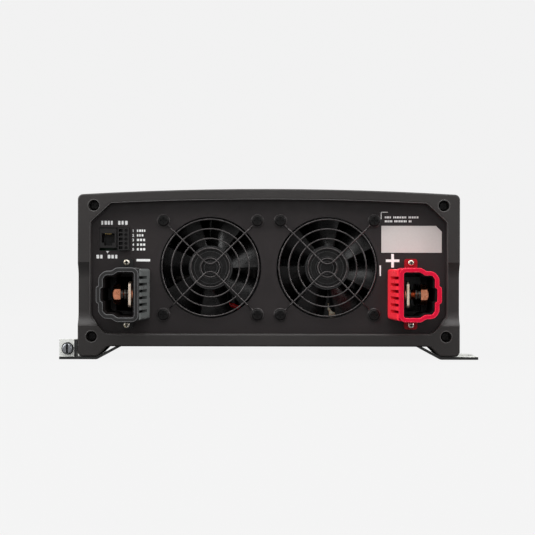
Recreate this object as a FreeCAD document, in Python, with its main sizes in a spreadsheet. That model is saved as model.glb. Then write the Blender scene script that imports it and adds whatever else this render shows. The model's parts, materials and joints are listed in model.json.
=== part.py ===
"""Rack-sized DC to AC power inverter, modelled as an assembly of separate parts.

Units are millimetres. X runs across the case, Y from the DC end (-Y) to the AC end (+Y) and Z up.
The origin is on the surface that the mounting feet stand on, under the middle of the whole object.

Parts of an end are modelled in that end's own frame: x to the right for somebody who faces the end,
y into the case from the bezel's face, z up. end_place() then puts them at the DC or the AC end.
"""

import FreeCAD
import Part
import Sketcher
import math
import os
import re

# (alias, value, meaning)
DIMENSIONS = [
    # whole case
    ("case_length", 430, "face of the DC bezel to face of the AC bezel"),
    ("cover_reach", 30, "how far the terminal covers stand out of the DC bezel"),
    ("outlet_reach", 2, "how far the outlets stand out of the AC bezel"),
    ("half_width", 144.5, "middle plane to the bezel's side"),
    ("corner_height", 124.7, "top corners of the bezel"),
    ("crown_radius", 2420, "radius of the arched top"),
    ("belly_height", 9.8, "underside of the bezel between its feet"),
    ("wall", 3, "thickness of the bezel's sleeve"),
    ("slip", 0.2, "clearance of a sliding fit"),
    # end bezel
    ("rim_depth", 8, "depth of the bezel's rim, face to panel"),
    ("sleeve_depth", 36, "how far the bezel reaches along the case"),
    ("heel_height", 2.3, "underside of the bezel's foot"),
    ("heel_in", 129.4, "inner end of the foot's flat"),
    ("heel_root", 121.9, "where the foot's slope leaves the underside"),
    ("window_half", 134.8, "recess: middle plane to its side"),
    ("window_low", 19.4, "recess: lower edge"),
    ("window_corner", 118, "recess: upper edge at its corners"),
    ("window_chamfer_x", 119.5, "recess: inner end of the upper chamfer"),
    ("window_chamfer_z", 103.8, "recess: lower end of the upper chamfer"),
    ("window_foot_x", 124.1, "recess: inner end of the lower chamfer"),
    ("window_foot_z", 32.7, "recess: upper end of the lower chamfer"),
    ("scoop_top", 73.5, "side scoop: upper end"),
    ("scoop_flat_top", 61.8, "side scoop: upper end of its floor"),
    ("scoop_flat_low", 36.2, "side scoop: lower end of its floor"),
    ("scoop_low", 25.4, "side scoop: lower end"),
    ("scoop_depth", 5, "side scoop: depth of its floor"),
    ("corner_x_top", 132.3, "upper corner screws, from the middle plane"),
    ("corner_z_top", 116.3, "upper corner screws, height"),
    ("corner_x_low", 134, "lower corner screws, from the middle plane"),
    ("corner_z_low", 17.2, "lower corner screws, height"),
    ("well_radius", 4, "screw well in the bezel's corner"),
    ("well_depth", 6, "depth of the screw well"),
    ("screw_hole", 2.1, "clearance hole for the corner screw, radius"),
    # end panels
    ("panel_thick", 2, "thickness of the end panels"),
    # case shell and base
    ("shell_side", 4, "side wall of the extruded shell"),
    ("shell_top", 3, "top wall of the extruded shell"),
    ("channel_top", 5.2, "upper screw channels, outside radius"),
    ("channel_low", 3.3, "lower screw channels, outside radius"),
    ("channel_bore", 1.75, "screw channels, bore radius"),
    ("fin_pitch", 5, "pitch of the side grooves"),
    ("fin_gap", 2.4, "width of a side groove"),
    ("fin_depth", 2, "depth of a side groove"),
    ("fin_low", 27, "height of the lowest side groove"),
    ("base_thick", 2.4, "thickness of the base plate"),
    ("base_half", 130.3, "middle plane to the base plate's edge"),
    ("ledge_width", 16, "shell's inner ledge over the base plate"),
    ("ledge_thick", 4, "thickness of that ledge"),
    ("groove_half", 1.6, "half the width of a groove along the top"),
    ("groove_depth", 1, "depth of a groove along the top"),
    # mounting feet
    ("foot_reach", 158.5, "middle plane to the foot's outer edge"),
    ("foot_sheet", 2, "thickness of the foot's sheet"),
    ("foot_bend", 129.8, "where the foot's flat begins to rise"),
    ("foot_knee", 109.5, "where the foot's slope meets the base plate"),
    ("foot_inner", 88, "inner edge of the foot"),
    ("foot_long", 60, "length of the foot along the case"),
    ("foot_slot_y", 19, "middle of the mounting slot, from the bezel's face"),
    ("foot_slot_x", 151, "middle of the mounting slot, from the middle plane"),
    ("foot_slot_r", 2.75, "half the width of the mounting slot"),
    ("foot_slot_long", 12, "mounting slot, end to end"),
    ("ear_wide", 13, "earth tag, width"),
    ("ear_high", 15, "earth tag, height over the floor"),
    ("ear_y", 2, "earth tag's outer face, from the bezel's face"),
    ("ear_fold", 7, "depth of the earth tag with its folded edge"),
    # fans
    ("fan_x", 44.5, "fan axis, from the middle plane"),
    ("fan_z", 69.4, "fan axis, height"),
    ("fan_size", 80, "fan frame, square"),
    ("fan_deep", 25, "fan frame, depth"),
    ("fan_bore", 38.5, "fan duct, radius"),
    ("fan_flange", 3.5, "fan frame, flange thickness"),
    ("fan_pitch", 71.5, "fan fixing holes, pitch"),
    ("fan_hole", 2.2, "fan fixing holes, radius"),
    ("hub_radius", 17, "fan hub, radius"),
    ("tip_radius", 36.6, "fan blades, tip radius"),
    ("shaft_radius", 1.5, "fan shaft, radius"),
    ("bearing_gap", 0.05, "running clearance round the fan shaft"),
    ("wire", 0.55, "finger guard wire, radius"),
    ("guard_y", 5, "finger guard rings, from the bezel's face"),
    ("guard_eye", 4.6, "finger guard eye, radius to the wire's middle"),
    # battery terminals, x from the terminal's own middle
    ("terminal_x", 108, "terminal's middle, from the middle plane"),
    ("terminal_z", 49.5, "terminal's middle, height"),
    ("hood_in", 12.6, "terminal cover: middle to its inner wall"),
    ("hood_out", 16.6, "terminal cover: middle to its outer wall"),
    ("hood_bulge", 18.4, "terminal cover: middle to the bulge over the stud"),
    ("hood_half", 19.9, "terminal cover: half height"),
    ("hood_step", 17.5, "terminal cover: half height of the outer step"),
    ("hood_wall", 3.2, "terminal cover: wall"),
    ("flank_drop", 0.9, "terminal cover: flank's end, short of the half height"),
    ("rib_pitch", 5, "terminal cover: pitch of the cooling slots"),
    ("rib_gap", 2.2, "terminal cover: width of a cooling slot"),
    ("tab_half", 4.9, "terminal cover: half width of the screw tabs"),
    ("tab_end", 26.8, "terminal cover: middle to the end of a tab"),
    ("tab_screw", 23.7, "terminal cover: middle to the tab's screw"),
    ("bar_thick", 1.8, "bus bar, thickness"),
    ("bar_high", 19.5, "bus bar, height"),
    ("bar_x", -6.1, "bus bar's inner face, from the terminal's middle"),
    ("bar_front", -21, "bus bar's front edge, from the bezel's face"),
    ("stud_y", -10, "stud axis, from the bezel's face"),
    ("stud_radius", 4, "M8 stud, radius"),
    ("thread_pitch", 1.25, "M8 thread pitch"),
    ("nut_flats", 13, "M8 nut, across flats"),
    ("nut_high", 5.4, "M8 nut, height"),
    ("nut_x_positive", 4.9, "positive nut's inner face, from the terminal's middle"),
    ("nut_x_negative", 2.1, "negative nut's inner face, from the terminal's middle"),
    # inside
    ("board_z", 26, "underside of the main board"),
    ("board_thick", 1.6, "thickness of the circuit boards"),
    ("label_thick", 0.3, "thickness of the label"),
    ("board_half", 112, "middle plane to the main board's edge"),
]

doc = FreeCAD.newDocument("PowerInverter")
sheet = doc.addObject("Spreadsheet::Sheet", "Dimensions")
for row, (alias, value, meaning) in enumerate(DIMENSIONS, 1):
    sheet.set(f"A{row}", meaning)
    sheet.set(f"B{row}", str(value))
    sheet.setAlias(f"B{row}", alias)
doc.recompute()

ALIASES = {alias for alias, _, _ in DIMENSIONS}
DC_FACE = "((cover_reach - outlet_reach - case_length) / 2)"
AC_FACE = "((cover_reach - outlet_reach + case_length) / 2)"
SHELL_HALF = "(half_width - wall - slip)"
SHELL_START = "(rim_depth + panel_thick + slip)"
BASE_LOW = "(belly_height + wall + slip)"
BASE_TOP = f"({BASE_LOW} + base_thick)"
BOARD_TOP = "(board_z + board_thick)"
FAN_FRONT = "(rim_depth + panel_thick)"
FAN_BACK = f"({FAN_FRONT} + fan_deep)"
FAN_CORNERS = [(sx, sz) for sx in (-1, 1) for sz in (-1, 1)]
EARTH_X, EARTH_Z = "(foot_reach - 6.4)", "8.2"

# fixings under the case: X from the middle plane, Y along the case or from the bezel's face
BASE_SCREW_X, BASE_SCREW_Y = 126.5, (-110, 14, 138)
BASE_SCREW_SHANK, LEDGE_BORE = 1.3, 1.35
FOOT_SCREW_X, FOOT_SCREW_Y = 97, (43, 54)
FOOT_FIXINGS = [(side * FOOT_SCREW_X, y) for side in (-1, 1) for inset in FOOT_SCREW_Y
                for y in (f"({DC_FACE} + {inset})", f"({AC_FACE} - {inset})")]

# case shell: grooves down the sides and along the top
FIN_COUNT = 10
TOP_GROOVE_X = (66, 76, 86, 96, 106, 116)

# remote control sockets' window in the DC panel: left, low, right, top
SOCKET_WINDOW = (-129, 82.3, -105.8, 99.8)

# AC end layout, in that end's frame
OUTLET_X = (62, 108)
OUTLET_Z = 79
OUTLET_HALF = (20.5, 20.5)
OUTLET_LIP = 2.5
BREAKER_X, BREAKER_Z = 12, 79
BREAKER_HALF = (18.2, 23)
SWITCH_X, SWITCH_Z = -105, 96
SWITCH_HALF = (6.6, 9.7)
LAMP_X = (-119, -105, -91)
LAMP_Z = 74
VENT_X, VENT_STEP, VENT_COLUMNS, VENT_HALF = -118, 6, 12, 1.5
VENT_ROWS = ((29, 45), (49, 65))
AC_CUTOUTS = [(x, OUTLET_Z, *OUTLET_HALF) for x in OUTLET_X] + [
    (BREAKER_X, BREAKER_Z, *BREAKER_HALF), (SWITCH_X, SWITCH_Z, *SWITCH_HALF)]

BLADES = 7

# cooling slots in the flank of a terminal cover
RIB_SLOTS = 6

# first blade's turn about each fan's axis, in degrees
BLADE_PHASE = {-1: 32.3, 1: 60.3}

# finger guard: ring radii, and the two V-shaped wires' vertex and its bend
GUARD_RINGS = (36.8, 29.5, 22.2, 14.8, 7.2)
GUARD_VERTEX, GUARD_BEND = 0.4, 6.5

# fan leads behind each frame: right and up from the fan's axis, and the bend there
RED_LEAD, BLACK_LEAD = 1.8, 1
RED_ROUTES = {
    -1: ((2, -16, 0), (8, -26.5, 4), (26, -33.5, 3)),
    1: ((9, -9, 0), (29, -24, 5), (29, -33.5, 3)),
}
BLACK_ROUTE = ((11, -6, 0), (21, -18, 5), (21, -31, 3))

# remote jack and terminal strip, and the label: left, low, right, top, in the DC end's frame
JACK = (-128.7, 84.4, -115.9, 99.2)
JACK_FRONT, JACK_LONG, JACK_DEEP = 6.5, 17.5, 12
JACK_HALF_X, JACK_HALF_Z = 4.9, 3.6
STRIP = (-114.9, 82.5, -106, 99.5)
STRIP_FRONT, STRIP_WAYS, STRIP_PITCH = 4.5, 5, 3.3
LABEL = (85.7, 81, 131.7, 101.5, 4.4)

# mains outlet's slots: shift right, shift up, tilt in degrees
PIN_SLOTS = ((-7.9, 4, 30), (7.9, 4, -30), (0, -10.3, 0))
BREAKER_FRONT, LEVER_AXIS_Y, LEVER_LONG, LEVER_TILT = 2, 9, 10.5, 22
ROCKER_AXIS_Y = 11

# inside the case, X and Y in the whole object's frame
BOARD_START, BOARD_LONG = -162, 352
STANDOFF_X, STANDOFF_Y = 78, (-56, 60, 176)
TRANSFORMER_X, TRANSFORMER_Y = (-66, -22, 22, 66), -88
INPUT_CAN_X, INPUT_CAN_Y = (-66.5, -47.5, -28.5, -9.5, 9.5, 28.5, 47.5, 66.5), (-145, -124)
BUS_CAN_X, BUS_CAN_Y = (-51, -17, 17, 51), -28
HEATSINK_X, HEATSINK_START, HEATSINK_LONG = 90, -118, 290
TRANSISTORS, TRANSISTOR_Y, TRANSISTOR_STEP = 8, -44, 26
INDUCTOR_Y = 50

NODES = {}


def expression(text):
    """The text with each dimension's name written as FreeCAD's reference to its cell."""
    return re.sub(r"[A-Za-z_]\w*", lambda m: f"Dimensions.{m[0]}" if m[0] in ALIASES else m[0], str(text))


def number(text):
    """The value of a text such as "fan_size / 2"."""
    return float(sheet.evalExpression(expression(text)))


def bind(thing, **properties):
    """Ties properties to expressions; a double underscore in a name stands for a dot."""
    for name, text in properties.items():
        thing.setExpression(name.replace("__", "."), expression(text))


def place(thing, x=0, y=0, z=0):
    bind(thing, Placement__Base__x=x, Placement__Base__y=y, Placement__Base__z=z)
    return thing


def node(label, thing):
    """Makes thing a sub-part of that name."""
    thing.Label = label
    NODES[label] = thing
    return thing


def end_place(thing, end):
    """Puts a sub-part modelled in an end's frame at the "dc" or the "ac" end."""
    if end == "ac":
        thing.Placement = FreeCAD.Placement(FreeCAD.Vector(), FreeCAD.Rotation(FreeCAD.Vector(0, 0, 1), 180))
    bind(thing, Placement__Base__y=DC_FACE if end == "dc" else AC_FACE)
    return thing


# ---------------------------------------------------------------- Part primitives


def box(name, x, y, z, long, deep, high):
    """A block from its lowest corner and its three sizes."""
    made = doc.addObject("Part::Box", name)
    bind(made, Length=long, Width=deep, Height=high)
    return place(made, x, y, z)


ALONG = {"x": (FreeCAD.Vector(0, 1, 0), 90), "y": (FreeCAD.Vector(1, 0, 0), -90), "z": (FreeCAD.Vector(0, 0, 1), 0)}


def turned(made, axis):
    """Turns a thing made along Z so that it runs along axis."""
    made.Placement = FreeCAD.Placement(FreeCAD.Vector(), FreeCAD.Rotation(*ALONG[axis]))
    return made


def cylinder(name, axis, x, y, z, radius, long):
    """A cylinder that starts at (x, y, z) and runs along +axis."""
    made = turned(doc.addObject("Part::Cylinder", name), axis)
    bind(made, Radius=radius, Height=long)
    return place(made, x, y, z)


def torus(name, axis, x, y, z, ring, tube):
    made = turned(doc.addObject("Part::Torus", name), axis)
    bind(made, Radius1=ring, Radius2=tube)
    return place(made, x, y, z)


def hexagon(name, axis, x, y, z, flats, long):
    """A hexagonal prism with two corners up and down."""
    made = turned(doc.addObject("Part::Prism", name), axis)
    bind(made, Circumradius=f"({flats}) / sqrt(3)", Height=long)
    return place(made, x, y, z)


def fuse(name, *things, refine=True):
    made = doc.addObject("Part::MultiFuse", name)
    made.Shapes = list(things)
    made.Refine = refine
    return made


def cut(name, base, *tools):
    made = doc.addObject("Part::Cut", name)
    made.Base = base
    made.Tool = tools[0] if len(tools) == 1 else compound(name + "_tools", *tools)
    return made


def compound(name, *things):
    """Several separate solids as one object."""
    made = doc.addObject("Part::Compound", name)
    made.Links = list(things)
    return made


def rounded(name, base, radius, chosen):
    """Part::Fillet on the edges of base for which chosen(edge) is true."""
    doc.recompute()
    made = doc.addObject("Part::Fillet", name)
    made.Base = base
    size = number(radius)
    made.Edges = [(i, size, size) for i, edge in enumerate(base.Shape.Edges, 1) if chosen(edge)]
    return made


def runs_along(edge, axis):
    """True for a straight edge along that axis."""
    if not isinstance(edge.Curve, Part.Line):
        return False
    return abs(getattr(edge.Curve.Direction, axis)) > 0.999


# ---------------------------------------------------------------- PartDesign


def new_body(label):
    return node(label, doc.addObject("PartDesign::Body", label))


def new_sketch(body, name, plane, at=0):
    """A sketch on one of the body's planes, moved to that coordinate along the plane's axis."""
    made = body.newObject("Sketcher::SketchObject", name)
    origin = next(f for f in body.Origin.OriginFeatures if f.Role == plane + "_Plane")
    made.AttachmentSupport = [(origin, "")]
    made.MapMode = "FlatFace"
    made.setExpression("AttachmentOffset.Base.z", expression(f"-({at})" if plane == "XZ" else at))
    return made


def outline(sketch, corners):
    """A closed outline whose corners are tied to expressions.

    A corner is (x, y), or (x, y, radius) where the edge to the next corner is an arc of that radius.
    The arc bulges to the right of the way the outline runs, or to the left if bend is "in": (x, y, radius, "in").
    """
    at = [FreeCAD.Vector(number(c[0]), number(c[1]), 0) for c in corners]
    ends = []
    constraints = []
    ties = []

    def tie(constraint, text):
        ties.append((len(constraints), text))
        constraints.append(constraint)

    for i, corner in enumerate(corners):
        start, stop = at[i], at[(i + 1) % len(at)]
        first = 1
        if len(corner) == 2:
            geo = sketch.addGeometry(Part.LineSegment(start, stop), False)
        else:
            chord = stop - start
            radius = number(corner[2])
            rise = radius - math.sqrt(radius**2 - chord.Length**2 / 4)
            side = FreeCAD.Vector(chord.y, -chord.x, 0).normalize() * rise
            middle = (start + stop) / 2
            if len(corner) == 3:
                arc = Part.Arc(start, middle + side, stop)
            else:
                # the sketcher's arcs run anticlockwise, so this one runs from stop to start
                arc = Part.Arc(stop, middle - side, start)
                first = 2
            geo = sketch.addGeometry(arc, False)
            tie(Sketcher.Constraint("Radius", geo, radius), corner[2])
        ends.append((geo, first, 3 - first))
    for i, (geo, first, _) in enumerate(ends):
        before = ends[i - 1]
        constraints.append(Sketcher.Constraint("Coincident", before[0], before[2], geo, first))
        tie(Sketcher.Constraint("DistanceX", geo, first, at[i].x), corners[i][0])
        tie(Sketcher.Constraint("DistanceY", geo, first, at[i].y), corners[i][1])
    offset = sketch.ConstraintCount
    sketch.addConstraint(constraints)
    for index, text in ties:
        sketch.setExpression(f"Constraints[{offset + index}]", expression(text))


def rectangle(sketch, x0, y0, x1, y1):
    outline(sketch, [(x0, y0), (x1, y0), (x1, y1), (x0, y1)])


def circle(sketch, x, y, radius):
    middle = FreeCAD.Vector(number(x), number(y), 0)
    geo = sketch.addGeometry(Part.Circle(middle, FreeCAD.Vector(0, 0, 1), number(radius)), False)
    first = sketch.ConstraintCount
    sketch.addConstraint([
        Sketcher.Constraint("DistanceX", geo, 3, middle.x),
        Sketcher.Constraint("DistanceY", geo, 3, middle.y),
        Sketcher.Constraint("Radius", geo, number(radius)),
    ])
    for index, text in enumerate((x, y, radius)):
        sketch.setExpression(f"Constraints[{first + index}]", expression(text))


def slot(sketch, x0, y0, x1, y1, half):
    """A slot with round ends whose end centres are (x0, y0) and (x1, y1), along the sketch's X or Y."""
    arc = f"({half}) * 1.00001"
    if x0 == x1:
        outline(sketch, [(f"{x0} + {half}", y0), (f"{x0} + {half}", y1, arc), (f"{x0} - {half}", y1),
                         (f"{x0} - {half}", y0, arc)])
    else:
        outline(sketch, [(x0, f"{y0} - {half}"), (x1, f"{y0} - {half}", arc), (x1, f"{y0} + {half}"),
                         (x0, f"{y0} + {half}", arc)])


def pad(body, sketch, length):
    """Pads towards +Y from an XZ sketch, or along the plane's axis from the others."""
    made = body.newObject("PartDesign::Pad", sketch.Name + "_pad")
    made.Profile = sketch
    made.Reversed = sketch.AttachmentSupport[0][0].Role == "XZ_Plane"
    bind(made, Length=length)
    return made


def pocket(body, sketch, length=None, both=False):
    """Cuts towards +Y from an XZ sketch (towards + from the others), or right through both ways."""
    doc.recompute()
    before = body.Shape.Volume
    made = body.newObject("PartDesign::Pocket", sketch.Name + "_cut")
    made.Profile = sketch
    on_xz = sketch.AttachmentSupport[0][0].Role == "XZ_Plane"
    made.Reversed = not on_xz
    if length is None:
        made.Type = "ThroughAll"
        made.Midplane = both
    else:
        bind(made, Length=length)
    doc.recompute()
    if made.Shape.isNull() or made.Shape.Volume > before - 1e-3:
        raise RuntimeError(f"{made.Name} cuts nothing")
    return made


def repeat(body, feature, axis, count, pitch):
    """Repeats a feature along one of the body's axes."""
    made = body.newObject("PartDesign::LinearPattern", feature.Name + "_row")
    made.Originals = [feature]
    made.Direction = (origin_axis(body, axis), [""])
    made.Occurrences = count
    bind(made, Length=f"({pitch}) * {count - 1}")
    body.Tip = made
    doc.recompute()
    return made


def origin_axis(body, axis):
    return next(f for f in body.Origin.OriginFeatures if f.Role == axis + "_Axis")


def fillet(body, radius, chosen):
    """Rounds the edges of the body's tip for which chosen(edge) is true."""
    doc.recompute()
    base = body.Tip
    made = body.newObject("PartDesign::Fillet", f"{body.Name}_round{len(body.Group)}")
    names = [f"Edge{i}" for i, edge in enumerate(base.Shape.Edges, 1) if chosen(edge)]
    made.Base = (base, names)
    bind(made, Radius=radius)
    doc.recompute()
    if made.Shape.isNull() or not made.Shape.isValid() or "Invalid" in made.State:
        raise RuntimeError(f"{made.Name} can't round {len(names)} edges")
    return made


def near(edge, axis_a, a, axis_b, b, within=0.6):
    """True if the edge's middle is at those two coordinates."""
    middle = edge.BoundBox.Center
    return abs(getattr(middle, axis_a) - number(a)) < within and abs(getattr(middle, axis_b) - number(b)) < within


def mirrored_edge(edge, x, z):
    """True for an edge along Y at (x, z) or at (-x, z)."""
    return runs_along(edge, "y") and (near(edge, "x", x, "z", z) or near(edge, "x", f"-{x}", "z", z))


# ---------------------------------------------------------------- end bezels and panels


def crown(half, drop=0):
    """Height of the arched top's arc where |x| = half, that far under the bezel's own arc."""
    return (f"(corner_height - {drop} + sqrt(crown_radius^2 - ({half})^2)"
            f" - sqrt(crown_radius^2 - half_width^2))")


def end_bezel(label, end):
    """Moulded frame with a sleeve over the case: recess, side scoops, feet and corner screw wells."""
    body = new_body(label)
    face = new_sketch(body, label + "_face", "XZ")
    outline(face, [
        ("half_width", "heel_height"), ("half_width", "corner_height", "crown_radius"),
        ("-half_width", "corner_height"), ("-half_width", "heel_height"),
        ("-heel_in", "heel_height"), ("-heel_root", "belly_height"),
        ("heel_root", "belly_height"), ("heel_in", "heel_height"),
    ])
    pad(body, face, "sleeve_depth")
    for radius, x, z in ((4, "half_width", "corner_height"), (3.8, "half_width", "heel_height"),
                         (5, "heel_in", "heel_height"), (5, "heel_root", "belly_height")):
        fillet(body, radius, lambda e, x=x, z=z: mirrored_edge(e, x, z))
    fillet(body, 1.2, lambda e: e.BoundBox.YMax < 0.01)

    window = new_sketch(body, label + "_window", "XZ", -1)
    outline(window, [
        ("window_half", "window_foot_z"), ("window_half", "window_chamfer_z"),
        ("window_chamfer_x", "window_corner", "crown_radius"), ("-window_chamfer_x", "window_corner"),
        ("-window_half", "window_chamfer_z"), ("-window_half", "window_foot_z"),
        ("-window_foot_x", "window_low"), ("window_foot_x", "window_low"),
    ])
    pocket(body, window, "rim_depth + 2")
    for radius, x, z in ((3, "window_half", "window_chamfer_z"), (3, "window_chamfer_x", "window_corner"),
                         (7, "window_half", "window_foot_z"), (7, "window_foot_x", "window_low")):
        fillet(body, radius, lambda e, x=x, z=z: mirrored_edge(e, x, z))
    inside, roof = number("window_half + 0.1"), number(crown(0, "(corner_height - window_corner)"))
    fillet(body, 1.4, lambda e: e.BoundBox.YMax < 0.01 and e.BoundBox.XMax < inside and e.BoundBox.XMin > -inside
           and number("window_low - 0.1") < e.BoundBox.ZMin and e.BoundBox.ZMax < roof + 0.5)
    inner = new_sketch(body, label + "_sleeve", "XZ", "rim_depth")
    half, low = "half_width - wall", "belly_height + wall"
    top = crown(half, "wall")
    outline(inner, [(half, low), (half, top, "crown_radius"), (f"-({half})", top), (f"-({half})", low)])
    pocket(body, inner)

    scoop = new_sketch(body, label + "_scoop", "YZ")
    rise_low = "((scoop_flat_low - scoop_low)^2 + scoop_depth^2) / (2 * scoop_depth)"
    rise_top = "((scoop_top - scoop_flat_top)^2 + scoop_depth^2) / (2 * scoop_depth)"
    outline(scoop, [
        ("0", "scoop_low", rise_low), ("scoop_depth", "scoop_flat_low"),
        ("scoop_depth", "scoop_flat_top", rise_top),
        ("0", "scoop_top"), ("-2", "scoop_top"), ("-2", "scoop_low"),
    ])
    pocket(body, scoop, both=True)

    for kind, radius, at in (("wells", "well_radius", -1), ("holes", "screw_hole", "well_depth - 1")):
        sketch = new_sketch(body, f"{label}_{kind}", "XZ", at)
        for side in ("", "-"):
            circle(sketch, side + "corner_x_top", "corner_z_top", radius)
            circle(sketch, side + "corner_x_low", "corner_z_low", radius)
        pocket(body, sketch, "well_depth + 1" if kind == "wells" else "rim_depth")
    fillet(body, 0.6, lambda e: isinstance(e.Curve, Part.Circle) and e.BoundBox.YMax < 0.01
           and abs(e.Curve.Radius - number("well_radius")) < 0.01)
    end_place(body, end)
    return body


def panel_body(label):
    """Plate that closes the end behind the rim, inside the sleeve."""
    body = new_body(label)
    sheet_outline = new_sketch(body, label + "_outline", "XZ", "rim_depth")
    half, low = SHELL_HALF, BASE_LOW
    top = crown(half, "(wall + slip)")
    outline(sheet_outline, [(half, low), (half, top, "crown_radius"), (f"-{half}", top), (f"-{half}", low)])
    pad(body, sheet_outline, "panel_thick")
    holes = new_sketch(body, label + "_corner_holes", "XZ", "rim_depth - 1")
    for side in ("", "-"):
        circle(holes, side + "corner_x_top", "corner_z_top", "screw_hole")
        circle(holes, side + "corner_x_low", "corner_z_low", "screw_hole")
    pocket(body, holes, "panel_thick + 2")
    return body


def dc_end_panel():
    """Panel with the two fan ports, the remote sockets' windows and the battery terminals' windows."""
    body = panel_body("dc_end_panel")
    ports = new_sketch(body, "dc_ports", "XZ", "rim_depth - 1")
    for side in (-1, 1):
        circle(ports, f"{side} * fan_x", "fan_z", "fan_bore + 0.3")
        for sx, sz in FAN_CORNERS:
            circle(ports, f"{side} * fan_x + {sx} * fan_pitch / 2", f"fan_z + {sz} * fan_pitch / 2", "fan_hole")
        middle = f"{side} * terminal_x"
        rectangle(ports, f"{middle} - 8", "terminal_z - 13", f"{middle} + 8", "terminal_z + 13")
        for sz in (-1, 1):
            circle(ports, middle, f"terminal_z + {sz} * tab_screw", 1.4)
    rectangle(ports, *SOCKET_WINDOW)
    pocket(body, ports, "panel_thick + 2")
    end_place(body, "dc")


def ac_end_panel():
    """Panel with the outlets', breaker's, switch's and lamps' cut-outs and the exhaust slots."""
    body = panel_body("ac_end_panel")
    ports = new_sketch(body, "ac_ports", "XZ", "rim_depth - 1")
    for x, z, half_x, half_z in AC_CUTOUTS:
        rectangle(ports, x - half_x, z - half_z, x + half_x, z + half_z)
    for x in LAMP_X:
        circle(ports, x, LAMP_Z, 2.6)
    pocket(body, ports, "panel_thick + 2")
    slots = new_sketch(body, "exhaust_slots", "XZ", "rim_depth - 1")
    for low, high in VENT_ROWS:
        slot(slots, VENT_X, low, VENT_X, high, VENT_HALF)
    repeat(body, pocket(body, slots, "panel_thick + 2"), "X", VENT_COLUMNS, VENT_STEP)
    end_place(body, "ac")


# ---------------------------------------------------------------- case


def case_shell():
    """Extruded black shell: arched top, finned sides, screw channels and a ledge for the base plate."""
    body = doc.addObject("PartDesign::Body", "shell_extrusion")
    start = f"({DC_FACE} + {SHELL_START})"
    long = f"(case_length - 2 * {SHELL_START})"
    profile = new_sketch(body, "shell_profile", "XZ", start)
    half, low = SHELL_HALF, BASE_LOW
    inner = f"({half} - shell_side)"
    ledge = f"({inner} - ledge_width)"
    top, roof = crown(half, "(wall + slip)"), crown(inner, "(wall + slip + shell_top)")
    ledge_low, ledge_top = f"({BASE_TOP} + 0.1)", f"({BASE_TOP} + ledge_thick)"
    outline(profile, [
        (half, low), (half, top, "crown_radius"), (f"-{half}", top), (f"-{half}", low),
        (f"-{inner}", low), (f"-{inner}", ledge_low), (f"-{ledge}", ledge_low), (f"-{ledge}", ledge_top),
        (f"-{inner}", ledge_top), (f"-{inner}", roof, "crown_radius", "in"), (inner, roof), (inner, ledge_top),
        (ledge, ledge_top), (ledge, ledge_low), (inner, ledge_low), (inner, low),
    ])
    pad(body, profile, long)
    fins = new_sketch(body, "side_grooves", "XZ", f"{start} - 1")
    for side in (-1, 1):
        rectangle(fins, f"{side} * ({half} - fin_depth)", "fin_low", f"{side} * ({half} + 1)", "fin_low + fin_gap")
    repeat(body, pocket(body, fins, f"{long} + 2"), "Z", FIN_COUNT, "fin_pitch")
    grooves = new_sketch(body, "top_grooves", "XZ", f"{start} - 1")
    for x in TOP_GROOVE_X:
        for side in (-1, 1):
            floor = f"{crown(x, '(wall + slip)')} - groove_depth"
            rectangle(grooves, f"{side * x} - groove_half", floor, f"{side * x} + groove_half", "corner_height + 5")
    pocket(body, grooves, f"{long} + 2")
    channels, bores = [], []
    for side in ("", "-"):
        for level in ("top", "low"):
            at = (f"{side}corner_x_{level}", start, f"corner_z_{level}")
            channels.append(cylinder("screw_channel", "y", *at, f"channel_{level}", long))
            bores.append(cylinder("screw_bore", "y", at[0], f"{start} - 1", at[2], "channel_bore", f"{long} + 2"))
    drills = [cylinder("ledge_bore", "z", side * BASE_SCREW_X, y, BASE_TOP, LEDGE_BORE, "ledge_thick + 1")
              for side in (-1, 1) for y in BASE_SCREW_Y]
    node("case_shell", cut("shell_cut", fuse("shell_blank", body, *channels), *bores, *drills))


def base_plate():
    """Flat plate under the boards, held to the shell's ledges."""
    long = f"(case_length - 2 * {SHELL_START})"
    plate = box("base_blank", "-base_half", f"{DC_FACE} + {SHELL_START}", BASE_LOW, "2 * base_half", long,
                "base_thick")
    drills = [cylinder("base_drill", "z", side * BASE_SCREW_X, y, f"{BASE_LOW} - 1", 1.6, 5)
              for side in (-1, 1) for y in BASE_SCREW_Y]
    drills += [cylinder("foot_drill", "z", x, y, f"{BASE_LOW} - 1", 2.1, 5) for x, y in FOOT_FIXINGS]
    node("base_plate", cut("base_cut", plate, *drills))


# ---------------------------------------------------------------- screws, nuts and washers


def pan_screw(name, x, y, z, shank, head, high, long, slotted=False):
    """Pan head screw along +Y with a cross recess or one upright slot: its head starts at y, its shank under it."""
    blank = fuse(name + "_blank", cylinder(name + "_head", "y", x, y, z, head, high),
                 cylinder(name + "_shank", "y", x, f"{y} + {high}", z, shank, long))
    dome = rounded(name + "_dome", blank, high * 0.45,
                   lambda e: isinstance(e.Curve, Part.Circle) and abs(e.BoundBox.Center.y - number(y)) < 0.01)
    arm, narrow = head * 0.66, head * 0.2
    recess = [(narrow, head + 1)] if slotted else [(arm, narrow), (narrow, arm)]
    tools = [box(name + "_recess", f"{x} - {a}", f"{y} - 0.1", f"{z} - {b}", 2 * a, high * 0.6, 2 * b)
             for a, b in recess]
    return cut(name, dome, *tools)


def upright_screw(name, x, y, z, shank, head, high, long):
    """Plain screw along Z: the head starts at z and the shank runs up from it."""
    return fuse(name, cylinder(name + "_head", "z", x, y, z, head, high),
                cylinder(name + "_shank", "z", x, y, f"{z} + {high}", shank, long))


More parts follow.
